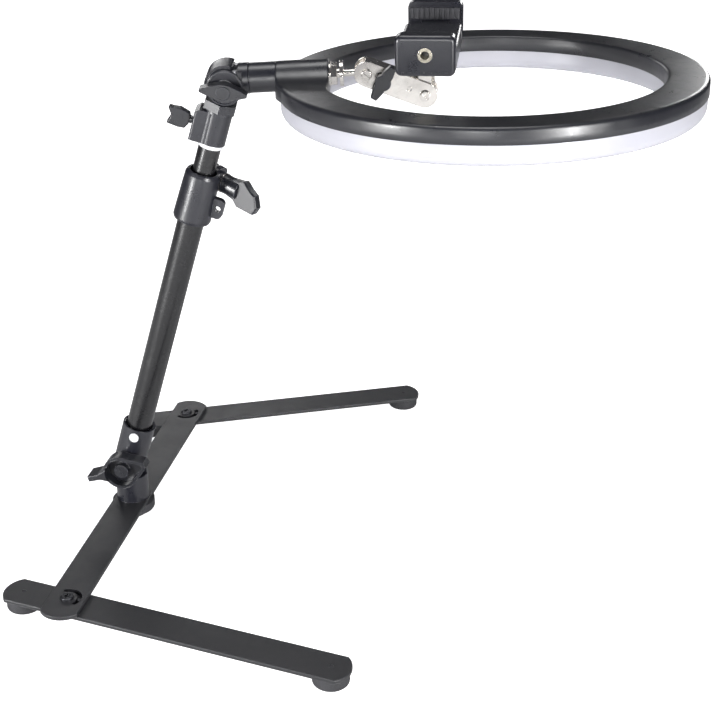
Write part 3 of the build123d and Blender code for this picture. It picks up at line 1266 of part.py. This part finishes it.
REAR_Z0, REAR_Z1 = 0.3, 22.5    # moving jaw, heights on the clip
REAR_W, REAR_T, REAR_CORNER, REAR_ROUND = 34.2, 8.0, 4.0, 2.0
SLIDE_W, SLIDE_H = 17.0, 5.4
SLIDE_ROOT, SLIDE_END = 1.0, 16.0   # slide starts inside the jaw, ends this far past centre
SLIDE_EAR_Y, SLIDE_EAR_W, SLIDE_EAR_L = -12.0, 26.6, 4.0
with BuildPart() as clip_jaw:
    with BuildSketch(clip_plane(FACE + REAR_T)):
        with Locations((0, (REAR_Z0 + REAR_Z1) / 2)):
            RectangleRounded(REAR_W, REAR_Z1 - REAR_Z0, REAR_CORNER)
    extrude(amount=REAR_T)
    fillet(clip_jaw.faces().sort_by(lambda face: local_centre(face, CLIP).Y)[-1].edges(),
           REAR_ROUND)
    with BuildSketch(clip_plane(FACE + SLIDE_ROOT)):
        with Locations((0, SLIDE_Z)):
            Rectangle(SLIDE_W, SLIDE_H)
    extrude(amount=FACE + SLIDE_ROOT + SLIDE_END)
    # wide ear near the slide's front end
    with BuildSketch(clip_plane(SLIDE_EAR_Y)):
        with Locations((0, SLIDE_Z)):
            Rectangle(SLIDE_EAR_W, SLIDE_H)
    extrude(amount=SLIDE_EAR_L)
save(clip_jaw, "clip_jaw")
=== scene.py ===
import bpy
import json
from math import cos, pi, radians, sin, sqrt
from mathutils import Matrix, Vector


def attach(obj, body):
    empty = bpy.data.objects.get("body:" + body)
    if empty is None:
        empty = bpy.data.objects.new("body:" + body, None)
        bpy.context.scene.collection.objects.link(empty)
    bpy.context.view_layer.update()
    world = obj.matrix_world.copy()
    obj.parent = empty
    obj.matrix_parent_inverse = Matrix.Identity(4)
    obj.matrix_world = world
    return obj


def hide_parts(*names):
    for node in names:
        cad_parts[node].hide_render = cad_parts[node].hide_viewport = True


MM = 0.001

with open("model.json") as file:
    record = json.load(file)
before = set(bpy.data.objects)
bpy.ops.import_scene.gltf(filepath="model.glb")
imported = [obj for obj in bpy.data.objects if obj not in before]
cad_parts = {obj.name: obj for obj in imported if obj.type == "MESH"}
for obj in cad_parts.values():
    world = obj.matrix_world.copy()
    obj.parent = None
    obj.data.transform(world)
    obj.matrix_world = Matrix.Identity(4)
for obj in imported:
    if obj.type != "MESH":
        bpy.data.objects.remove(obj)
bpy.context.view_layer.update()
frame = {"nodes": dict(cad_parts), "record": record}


# =====================================================================
# Material builder
# =====================================================================
def is_socket(value):
    return isinstance(value, bpy.types.NodeSocket)


class MaterialBuilder:
    """A Principled material; each method adds nodes and returns their output socket."""

    def __init__(self, name):
        self.material = bpy.data.materials.new(name)
        self.material.use_nodes = True
        self.tree = self.material.node_tree
        self.tree.nodes.clear()
        output = self.node("ShaderNodeOutputMaterial")
        self.principled = self.node("ShaderNodeBsdfPrincipled")
        self.feed(output.inputs[0], self.principled.outputs[0])
        self.position = self.node("ShaderNodeTexCoord").outputs["Object"]

    def node(self, kind, **settings):
        node = self.tree.nodes.new(kind)
        for key, value in settings.items():
            setattr(node, key, value)
        return node

    def feed(self, socket, value):
        """Link a socket into an input, or set the input's value."""
        if is_socket(value):
            self.tree.links.new(value, socket)
        else:
            socket.default_value = value

    def stretched(self, scale):
        node = self.node("ShaderNodeMapping")
        node.inputs["Scale"].default_value = scale
        self.feed(node.inputs["Vector"], self.position)
        return node.outputs[0]

    def noise(self, scale, detail=4.0, rough=0.55, vector=None, distortion=0.0):
        node = self.node("ShaderNodeTexNoise")
        node.inputs["Scale"].default_value = scale
        node.inputs["Detail"].default_value = detail
        node.inputs["Roughness"].default_value = rough
        node.inputs["Distortion"].default_value = distortion
        self.feed(node.inputs["Vector"], vector or self.position)
        return node.outputs["Fac"]

    def voronoi(self, scale):
        node = self.node("ShaderNodeTexVoronoi")
        node.inputs["Scale"].default_value = scale
        self.feed(node.inputs["Vector"], self.position)
        return node.outputs["Distance"]

    def ramp(self, factor, start, end, low=0.0, high=1.0):
        """Grey ramp: `low` up to position `start`, `high` from position `end`."""
        node = self.node("ShaderNodeValToRGB")
        stops = ((start, low), (end, high))
        for element, (position, grey) in zip(node.color_ramp.elements, stops):
            element.position = position
            element.color = (grey, grey, grey, 1)
        self.feed(node.inputs[0], factor)
        return node.outputs[0]

    def math(self, operation, a, b, clamp=False):
        node = self.node("ShaderNodeMath", operation=operation, use_clamp=clamp)
        self.feed(node.inputs[0], a)
        self.feed(node.inputs[1], b)
        return node.outputs[0]

    def add(self, a, b, clamp=False):
        return self.math("ADD", a, b, clamp)

    def subtract(self, a, b):
        return self.math("SUBTRACT", a, b)

    def multiply(self, a, b, clamp=False):
        return self.math("MULTIPLY", a, b, clamp)

    def mix(self, factor, a, b):
        """Colour a where the factor is 0, colour b where it is 1."""
        node = self.node("ShaderNodeMix", data_type="RGBA")
        self.feed(node.inputs[0], factor)
        # Inputs 6 and 7 are the colour pair A and B.
        for index, colour in ((6, a), (7, b)):
            self.feed(node.inputs[index], colour if is_socket(colour) else (*colour, 1))
        return node.outputs[2]

    def edge(self, radius):
        """Return the rounded normal and a 0..1 mask that is high on edges."""
        bevel = self.node("ShaderNodeBevel", samples=4)
        bevel.inputs["Radius"].default_value = radius
        geometry = self.node("ShaderNodeNewGeometry")
        dot = self.node("ShaderNodeVectorMath", operation="DOT_PRODUCT")
        self.feed(dot.inputs[0], bevel.outputs[0])
        self.feed(dot.inputs[1], geometry.outputs["Normal"])
        deviation = self.subtract(1.0, dot.outputs["Value"])
        return bevel.outputs[0], self.multiply(deviation, 6.0, clamp=True)

    def bump(self, height, strength, distance, normal=None):
        node = self.node("ShaderNodeBump")
        node.inputs["Strength"].default_value = strength
        node.inputs["Distance"].default_value = distance
        self.feed(node.inputs["Height"], height)
        if normal is not None:
            self.feed(node.inputs["Normal"], normal)
        return node.outputs[0]

    def finish(self, **inputs):
        """Set the Principled inputs (underscores stand for spaces); return the material."""
        for key, value in inputs.items():
            self.feed(self.principled.inputs[key.replace("_", " ")], value)
        return self.material


# =====================================================================
# Kinds of surface
# =====================================================================
def coated(name, base, light, rough, grain=1800.0, grain_height=0.00006, edge_radius=0.0005,
           edge_mix=0.5, wear=0.35, specular=0.95, coat=0.0, speck=0.08):
    """Painted or moulded: fine grain, slow tone change, rubbed edges, faint scratches."""
    m = MaterialBuilder(name)
    slow = m.noise(scale=14.0, detail=3.0)
    fine = m.noise(scale=grain, detail=2.0, rough=0.6)
    smudge = m.noise(scale=60.0, detail=6.0, rough=0.65, distortion=0.6)
    normal, edge = m.edge(edge_radius)
    tone = m.mix(m.ramp(slow, start=0.3, end=0.75), base, [c * 1.22 for c in base])
    tone = m.mix(m.ramp(fine, start=0.46, end=0.72, high=speck), tone, light)
    # The rubbed edge is broken up by noise.
    gaps = m.ramp(m.noise(scale=320.0), start=0.35, end=0.65, low=0.25)
    rubbed = m.multiply(edge, gaps)
    tone = m.mix(m.multiply(rubbed, edge_mix), tone, light)
    # Noise squeezed in y and z leaves scratches along x.
    streaks = m.noise(vector=m.stretched((1.0, 9.0, 9.0)),
                      scale=90.0, detail=8.0, rough=0.7, distortion=1.2)
    scratch = m.ramp(streaks, start=0.62, end=0.78, high=wear)
    tone = m.mix(m.multiply(scratch, 0.18), tone, light)
    # Roughness: smudges and grain raise it, rubbed edges lower it.
    roughness = m.add(m.multiply(m.ramp(smudge, start=0.25, end=0.75), 0.16), rough - 0.06)
    roughness = m.subtract(roughness, m.multiply(rubbed, 0.10))
    roughness = m.add(roughness, m.multiply(m.ramp(fine, start=0.3, end=0.8), 0.06), clamp=True)
    normal = m.bump(fine, strength=0.55, distance=grain_height, normal=normal)
    waves = m.noise(scale=220.0, detail=3.0)
    normal = m.bump(waves, strength=0.12, distance=0.0001, normal=normal)
    return m.finish(Base_Color=tone, Roughness=roughness, Normal=normal,
                    Specular_IOR_Level=specular, Coat_Weight=coat, Coat_Roughness=0.12)


def metal(name, base, dull_and_reflection_dark, rough, edge_radius=0.00025):
    """Plated or zinc metal with polishing marks, bright edges and dulled patches; on the nickel
    the patches' brownish darker tone is a painted reflection.
    """
    m = MaterialBuilder(name)
    normal, edge = m.edge(edge_radius)
    patch = m.noise(scale=70.0, detail=6.0, rough=0.6, distortion=0.8)
    micro = m.noise(scale=2600.0, detail=2.0)
    marks = m.noise(scale=420.0, detail=6.0, rough=0.7, distortion=0.3)
    # Patches and marks darken the tone; on the nickel the patch darkening is a painted brownish
    # reflection.
    tone = m.mix(m.multiply(m.ramp(patch, start=0.4, end=0.75), 0.5), base, dull_and_reflection_dark)
    tone = m.mix(m.multiply(m.ramp(marks, start=0.55, end=0.8), 0.35), tone, dull_and_reflection_dark)
    tone = m.mix(m.multiply(edge, 0.4), tone, [min(1.0, c * 1.15) for c in base])
    # Roughness: raised by patches and marks.
    roughness = m.add(m.multiply(m.ramp(patch, start=0.3, end=0.8), 0.14), rough)
    roughness = m.add(roughness, m.multiply(m.ramp(marks, start=0.4, end=0.75), 0.10), clamp=True)
    normal = m.bump(marks, strength=0.25, distance=0.00004, normal=normal)
    normal = m.bump(micro, strength=0.15, distance=0.00002, normal=normal)
    return m.finish(Base_Color=tone, Roughness=roughness, Normal=normal, Metallic=1.0)


def rubber(name, base, light, rough=0.7):
    """Matt rubber: dusty patches, paler edges and a fine grain."""
    m = MaterialBuilder(name)
    normal, edge = m.edge(radius=0.0004)
    dust = m.noise(scale=45.0, detail=6.0, rough=0.65)
    fine = m.noise(scale=1400.0, detail=3.0, rough=0.6)
    tone = m.mix(m.ramp(dust, start=0.4, end=0.8, high=0.6), base, light)
    tone = m.mix(m.multiply(edge, 0.35), tone, light)
    tone = m.mix(m.ramp(fine, start=0.45, end=0.75, high=0.3), tone, light)
    roughness = m.add(m.multiply(dust, 0.2), rough - 0.1, clamp=True)
    normal = m.bump(fine, strength=0.6, distance=0.00008, normal=normal)
    return m.finish(Base_Color=tone, Roughness=roughness, Normal=normal, Specular_IOR_Level=0.6)


def milky(name, shade, light, edge_light):
    """Milky plastic: soft depth, a faint glow and moulding flow lines."""
    m = MaterialBuilder(name)
    normal, edge = m.edge(radius=0.0006)
    flow = m.noise(scale=18.0, rough=0.5, distortion=0.4)
    fine = m.noise(scale=1500.0, detail=2.0)
    tone = m.mix(m.ramp(flow, start=0.3, end=0.8), shade, light)
    tone = m.mix(m.multiply(edge, 0.3), tone, edge_light)
    roughness = m.add(m.multiply(m.noise(scale=80.0, detail=5.0), 0.16), 0.26, clamp=True)
    normal = m.bump(fine, strength=0.2, distance=0.00003, normal=normal)
    normal = m.bump(flow, strength=0.1, distance=0.0003, normal=normal)
    return m.finish(Base_Color=tone, Roughness=roughness, Normal=normal,
                    Subsurface_Weight=0.15, Subsurface_Radius=(0.006, 0.006, 0.007),
                    Subsurface_Scale=1.0, Coat_Weight=0.3, Coat_Roughness=0.1,
                    Emission_Color=(0.93, 0.92, 1.0, 1), Emission_Strength=0.04)


def circuit_board(name, shade, light, dots):
    """Patchy pale board with small sunken dots."""
    m = MaterialBuilder(name)
    patch = m.noise(scale=120.0)
    outside_dots = m.ramp(m.voronoi(scale=260.0), start=0.02, end=0.05)
    tone = m.mix(patch, shade, light)
    tone = m.mix(outside_dots, dots, tone)
    return m.finish(Base_Color=tone, Roughness=m.add(m.multiply(patch, 0.2), 0.3),
                    Normal=m.bump(outside_dots, strength=0.3, distance=0.00003))


def phosphor(name, shade, light):
    """Mottled yellow face of the LEDs."""
    m = MaterialBuilder(name)
    mottle = m.noise(scale=900.0, detail=3.0)
    tone = m.mix(mottle, shade, light)
    return m.finish(Base_Color=tone, Roughness=m.add(m.multiply(mottle, 0.2), 0.25),
                    Normal=m.bump(mottle, strength=0.3, distance=0.00004))


# =====================================================================
# The lamp's materials
# =====================================================================
CHARCOAL_LIGHT = (0.090, 0.095, 0.120)

# name: (kind of surface, its arguments)
RECIPES = {
    "bar_steel": (coated, dict(
        base=(0.010, 0.0103, 0.0125), light=(0.11, 0.11, 0.125), rough=0.42,
        grain=2400.0, grain_height=0.00004, edge_mix=0.75, wear=0.4)),
    "foot_rubber": (rubber, dict(base=(0.028, 0.028, 0.031), light=(0.09, 0.09, 0.10))),
    "screw_steel": (metal, dict(base=(0.58, 0.58, 0.60), dull_and_reflection_dark=(0.25, 0.25, 0.27), rough=0.28)),
    "black_screw": (metal, dict(
        base=(0.09, 0.092, 0.10), dull_and_reflection_dark=(0.035, 0.035, 0.04), rough=0.34, edge_radius=0.0003)),
    "nylon": (coated, dict(base=(0.66, 0.66, 0.62), light=(0.80, 0.80, 0.78), rough=0.45)),
    "body_plastic": (coated, dict(
        base=(0.009, 0.0095, 0.0150), light=CHARCOAL_LIGHT, rough=0.27,
        grain=1500.0, grain_height=0.00005, edge_radius=0.0006, edge_mix=0.55)),
    "tube_gloss": (coated, dict(
        base=(0.004, 0.004, 0.005), light=(0.05, 0.05, 0.056), rough=0.22,
        grain=2600.0, grain_height=0.00001, edge_radius=0.0002, edge_mix=0.4, wear=0.3,
        specular=0.8, coat=0.2, speck=0.04)),
    "knob_plastic": (coated, dict(
        base=(0.0075, 0.008, 0.0115), light=CHARCOAL_LIGHT, rough=0.27,
        grain=1700.0, grain_height=0.00007, edge_radius=0.0008, edge_mix=0.6)),
    # The nickel's brownish dark tone, laid in patches, is a painted reflection.
    "nickel": (metal, dict(
        base=(0.86, 0.83, 0.79), dull_and_reflection_dark=(0.38, 0.355, 0.33), rough=0.13, edge_radius=0.00045)),
    "white_plastic": (coated, dict(
        base=(0.76, 0.77, 0.79), light=(0.90, 0.90, 0.92), rough=0.28)),
    "diffuser": (milky, dict(
        shade=(0.515, 0.515, 0.568), light=(0.560, 0.560, 0.613),
        edge_light=(0.72, 0.72, 0.79))),
    "board": (circuit_board, dict(
        shade=(0.80, 0.81, 0.79), light=(0.90, 0.90, 0.88), dots=(0.62, 0.64, 0.60))),
    "led": (phosphor, dict(shade=(0.90, 0.70, 0.18), light=(0.98, 0.88, 0.45))),
    "wire": (rubber, dict(base=(0.015, 0.015, 0.017), light=(0.05, 0.05, 0.055), rough=0.5)),
    "brass_insert": (metal, dict(base=(0.88, 0.83, 0.70), dull_and_reflection_dark=(0.50, 0.42, 0.28), rough=0.20)),
    "pad_rubber": (rubber, dict(base=(0.032, 0.032, 0.038), light=(0.10, 0.10, 0.11), rough=0.6)),
    "shell_plastic": (coated, dict(
        base=(0.011, 0.0115, 0.0155), light=CHARCOAL_LIGHT, rough=0.28,
        grain=2200.0, grain_height=0.00003, edge_radius=0.0010, edge_mix=0.30, wear=0.2)),
}
MATERIALS = {name: make(name, **values) for name, (make, values) in RECIPES.items()}

SLOTS = {part["node"]: part["material_slot"] for part in frame["record"]["subparts"]}
# Pieces whose material differs from the one their slot names.
OVERRIDES = {
    "ring_shell": "shell_plastic",
    "pivot_screws": "black_screw",
    "front_stop_pin": "black_screw",
    "rear_stop_pin": "black_screw",
}

for name, obj in frame["nodes"].items():
    obj.data.materials.clear()
    obj.data.materials.append(MATERIALS[OVERRIDES.get(name, SLOTS[name])])


# =====================================================================
# Local frames of the lamp, mm and degrees
# =====================================================================
class LocalFrame:
    """An origin with x, y and z axes."""

    def __init__(self, origin, x, z):
        self.origin = Vector(origin)
        self.x = Vector(x).normalized()
        self.z = Vector(z).normalized()
        self.y = self.z.cross(self.x)

    def direction(self, v):
        return self.x * v[0] + self.y * v[1] + self.z * v[2]

    def point(self, v):
        return self.origin + self.direction(v)

    def child(self, origin=(0, 0, 0), x=(1, 0, 0), z=(0, 0, 1)):
        return LocalFrame(self.point(origin), self.direction(x), self.direction(z))

    def turn(self, degrees):
        """Rotate about z, x towards y."""
        a = radians(degrees)
        return self.child(x=(cos(a), sin(a), 0))

    def pitch(self, degrees):
        """Rotate about y, lifting x towards z."""
        a = radians(degrees)
        return self.child(x=(cos(a), 0, sin(a)), z=(-sin(a), 0, cos(a)))

    def roll(self, degrees):
        """Rotate about x, y towards z."""
        a = radians(degrees)
        return self.child(z=(0, -sin(a), cos(a)))


RING_OUTER = 130.0      # plan radii of the ring
RING_INNER = 105.0
HUMP_AXIS_HEIGHT = 0.8  # of the hump's arc centre above the ring's flat top, at RING_INNER

COLUMN_FOOT_Z = 44.9
COLUMN_LEAN = radians(16.1)
column = LocalFrame(
    origin=(0, 0, COLUMN_FOOT_Z),
    x=(cos(COLUMN_LEAN), 0, -sin(COLUMN_LEAN)),
    z=(sin(COLUMN_LEAN), 0, cos(COLUMN_LEAN)))
elbow = column.turn(10.7).child((0, 0, 286.0)).pitch(19.6)
neck = elbow.child((0, 0, 2.6))
ring_edge = neck.child((57.7, 0, 0)).roll(-4.4).pitch(-1.63)
# Origin at the ring's centre, z = 0 on its flat top.
ring = ring_edge.child((RING_INNER, 0, -HUMP_AXIS_HEIGHT))


# =====================================================================
# Ring shell, mm in the ring's frame
# =====================================================================
HUMP_RADIUS = 9.4           # arc over the top of the hump
HUMP_HALF_ARC = radians(53)
HUMP_SLOPE = 0.0284         # rise of the arc centre per mm of x
HUMP_INNER_END = 98.9       # distances of the hump's flat ends from the ring's centre
HUMP_OUTER_END = 131.6
INNER_BLEND = 1.2           # softens the meeting of flat end and inner circle

OUTER_BOTTOM = -9.8
INNER_BOTTOM = -10.0
CHAMFER = 0.25              # on the bottom rims
OUTER_ROUND, OUTER_ROUND_HUMP = 2.4, 1.0  # top edge radii, plain and at the hump
INNER_ROUND, INNER_ROUND_HUMP = 1.6, 1.1
ROUND_STEPS = 6
TOP_STEPS = 24              # across the top between the rounded edges

# Channel open to below, from inner to outer wall: radius, height.
CHANNEL = [
    (RING_INNER + 1.9, INNER_BOTTOM),
    (RING_INNER + 2.0, -9.7),
    (RING_INNER + 2.0, -2.4),
    (RING_INNER + 2.4, -2.0),
    (RING_OUTER - 2.4, -2.0),
    (RING_OUTER - 2.0, -2.4),
    (RING_OUTER - 2.0, OUTER_BOTTOM),
]


def smoothstep(t):
    t = min(1.0, max(0.0, t))
    return t * t * (3 - 2 * t)


def hump_height(x, y):
    """Height of the hump over the flat top: an arc that runs out in tangent fillets."""
    y = abs(y)
    centre = HUMP_AXIS_HEIGHT + (x + RING_INNER) * HUMP_SLOPE
    fillet = (centre + HUMP_RADIUS * cos(HUMP_HALF_ARC)) / (1 - cos(HUMP_HALF_ARC))
    arc_end = HUMP_RADIUS * sin(HUMP_HALF_ARC)
    fillet_end = arc_end + fillet * sin(HUMP_HALF_ARC)
    if y <= arc_end:
        return centre + sqrt(HUMP_RADIUS * HUMP_RADIUS - y * y)
    if y < fillet_end:
        return fillet - sqrt(fillet * fillet - (fillet_end - y) ** 2)
    return 0.0


def plan_radii(angle):
    """Inner and outer plan radius at an angle from the neck side."""
    cosine = max(cos(angle), 1e-3)
    chord = HUMP_INNER_END / cosine
    near = max(INNER_BLEND - abs(chord - RING_INNER), 0.0) / INNER_BLEND
    inner = min(chord, RING_INNER) - near * near * INNER_BLEND * 0.25
    if cos(angle) <= 0:
        return inner, RING_OUTER
    # The outer end is flat to 12 mm either side of the hump, then fades over 18 mm.
    sideways = RING_OUTER * abs(sin(angle))
    flatness = 1.0 - smoothstep((sideways - 12.0) / 18.0)
    return inner, RING_OUTER + (HUMP_OUTER_END / cosine - RING_OUTER) * flatness


def section_angles():
    """Angles once round the ring from the neck side, closest at the hump."""
    angles, angle = [], 0.0
    while angle < pi:
        angles.append(angle)
        if angle < radians(14):
            angle += radians(0.22)
        elif angle < radians(26):
            angle += radians(0.4)
        else:
            angle += radians(0.9)
    return angles + [pi] + [-a for a in reversed(angles[1:])]


def shell_section(angle):
    """Closed section: up the outer wall, over the top, down the inner wall, channel."""
    inner, outer = plan_radii(angle)

    def top(radius):
        x, y = -radius * cos(angle), radius * sin(angle)
        return hump_height(x, y) if x < 0 else 0.0

    def edge_round(wall, plain, at_hump):
        blend = smoothstep(top(wall) / 3.0)
        return plain * (1 - blend) + at_hump * blend

    def rounded_edge(wall, side, size, fractions):
        """Quarter round from the wall (0) to the top (1); side points into the material."""
        points = []
        for fraction in fractions:
            a = fraction * pi / 2
            radius = wall + side * size * (1 - cos(a))
            points.append((radius, top(radius) - size + size * sin(a)))
        return points

    outer_round = edge_round(outer, OUTER_ROUND, OUTER_ROUND_HUMP)
    inner_round = edge_round(inner, INNER_ROUND, INNER_ROUND_HUMP)
    steps = range(ROUND_STEPS + 1)

    points = [(outer - CHAMFER, OUTER_BOTTOM), (outer, OUTER_BOTTOM + CHAMFER), (outer, -6.0)]
    points += rounded_edge(outer, -1, outer_round, [i / ROUND_STEPS for i in steps])
    width = inner + inner_round - outer + outer_round
    for i in range(1, TOP_STEPS):
        radius = (outer - outer_round) + width * i / TOP_STEPS
        points.append((radius, top(radius)))
    points += rounded_edge(inner, 1, inner_round, [1 - i / ROUND_STEPS for i in steps])
    points += [(inner, -5.0), (inner, INNER_BOTTOM + CHAMFER), (inner + CHAMFER, INNER_BOTTOM)]
    points += CHANNEL
    return [(-radius * cos(angle), radius * sin(angle), height) for radius, height in points]


def ring_shell():
    """Flat ring whose top swells into a radial hump on the neck side."""
    sections = [shell_section(angle) for angle in section_angles()]
    count, size = len(sections), len(sections[0])
    verts = [tuple(ring.point(v) * MM) for section in sections for v in section]
    faces = []
    for i in range(count):
        here, after = i * size, (i + 1) % count * size
        for k in range(size):
            n = (k + 1) % size
            faces.append((here + k, here + n, after + n, after + k))

    name = "ring_shell_skin"
    mesh = bpy.data.meshes.new(name)
    mesh.from_pydata(verts, [], faces)
    mesh.validate()
    mesh.update()
    shell = bpy.data.objects.new(name, mesh)
    bpy.context.collection.objects.link(shell)
    bpy.context.view_layer.objects.active = shell
    shell.select_set(True)
    bpy.ops.object.mode_set(mode="EDIT")
    bpy.ops.mesh.select_all(action="SELECT")
    bpy.ops.mesh.normals_make_consistent(inside=False)
    bpy.ops.object.mode_set(mode="OBJECT")
    shell.select_set(False)
    mesh.materials.append(MATERIALS["shell_plastic"])
    for polygon in mesh.polygons:
        polygon.use_smooth = True
    mesh.set_sharp_from_angle(angle=radians(50))
    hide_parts("ring_shell")
    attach(shell, "ring_lamp")


# =====================================================================
# Stage, lights and camera
# =====================================================================
def studio_floor():
    """White floor that glows for camera rays only."""
    bpy.ops.mesh.primitive_plane_add(size=14.0, location=(0, 0, -0.0004))
    floor = bpy.context.object
    floor.name = "studio_floor"
    m = MaterialBuilder("floor_white")
    mottle = m.noise(scale=3.0, detail=3.0)
    camera_ray = m.node("ShaderNodeLightPath").outputs["Is Camera Ray"]
    tone = m.mix(mottle, (0.80, 0.80, 0.805), (0.84, 0.84, 0.845))
    glow = m.add(m.multiply(camera_ray, 1.1), 0.0)
    floor.data.materials.append(m.finish(
        Base_Color=tone, Roughness=0.7, Specular_IOR_Level=0.1,
        Emission_Color=(1, 1, 1, 1), Emission_Strength=glow))


def studio_world():
    """The camera sees plain white; other rays see a dim sky, brighter upwards."""
    world = bpy.data.worlds.new("studio")
    world.use_nodes = True
    nodes, link = world.node_tree.nodes, world.node_tree.links.new
    background = nodes["Background"]
    coordinates = nodes.new("ShaderNodeTexCoord")
    split = nodes.new("ShaderNodeSeparateXYZ")
    sky = nodes.new("ShaderNodeValToRGB")
    low, high = sky.color_ramp.elements
    low.position, low.color = 0.05, (0.018, 0.018, 0.020, 1)
    high.position, high.color = 0.75, (0.11, 0.11, 0.12, 1)
    light_path = nodes.new("ShaderNodeLightPath")
    mix = nodes.new("ShaderNodeMix")
    mix.data_type = "RGBA"
    mix.inputs[7].default_value = (1.12, 1.12, 1.12, 1)
    link(coordinates.outputs["Generated"], split.inputs[0])
    link(split.outputs[2], sky.inputs[0])
    link(light_path.outputs["Is Camera Ray"], mix.inputs[0])
    link(sky.outputs[0], mix.inputs[6])
    link(mix.outputs[2], background.inputs[0])
    background.inputs[1].default_value = 1.0
    bpy.context.scene.world = world


# name, location, aim point, width, height, power in watts
LIGHTS = [
    ("top", (0.05, 0.10, 1.9), (0.12, 0.0, 0.1), 1.1, 0.7, 9.6),
    ("key_left", (-0.95, -1.15, 0.36), (0.1, 0, 0.18), 0.26, 0.66, 21.6),
    ("right_strip", (1.05, -0.80, 0.34), (0.1, 0, 0.18), 0.14, 0.62, 12.7),
    ("front_fill", (0.20, -1.75, 0.34), (0.18, 0, 0.3), 0.40, 0.5, 6.4),
    ("back_left", (-0.70, 1.7, 0.70), (0.15, 0, 0.33), 0.8, 0.26, 3.2),
    ("back_right", (0.66, 1.7, 0.72), (0.36, 0, 0.33), 0.36, 0.26, 4.8),
]


def area_light(name, location, aim, width, height, power):
    data = bpy.data.lights.new(name, "AREA")
    data.energy = power
    data.shape = "RECTANGLE"
    data.size = width
    data.size_y = height
    light = bpy.data.objects.new(name, data)
    bpy.context.collection.objects.link(light)
    light.location = location
    towards = Vector(aim) - Vector(location)
    light.rotation_euler = towards.to_track_quat("-Z", "Y").to_euler()


def camera(location, yaw, dip, roll, lens):
    """Yaw turns the view from +Y towards +X, dip tips it down; angles in degrees."""
    data = bpy.data.cameras.new("cam")
    data.lens = lens
    data.sensor_width = 36.0
    data.clip_start = 0.01
    cam = bpy.data.objects.new("cam", data)
    bpy.context.collection.objects.link(cam)
    yaw, dip, roll = radians(yaw), radians(dip), radians(roll)
    forward = Vector((sin(yaw) * cos(dip), cos(yaw) * cos(dip), -sin(dip)))
    level = Vector((cos(yaw), -sin(yaw), 0.0))
    upright = level.cross(forward)
    right = level * cos(roll) + upright * sin(roll)
    up = -level * sin(roll) + upright * cos(roll)
    rotation = Matrix((right, up, -forward)).transposed()
    cam.matrix_world = Matrix.Translation(location) @ rotation.to_4x4()
    bpy.context.scene.camera = cam


ring_shell()
studio_floor()
studio_world()
for light in LIGHTS:
    area_light(*light)
camera(location=(0.313516, -0.799579, 0.538177), yaw=-10.681, dip=26.179, roll=0.618, lens=68.28)
bpy.context.scene.view_settings.view_transform = "Standard"
bpy.context.scene.view_settings.look = "None"
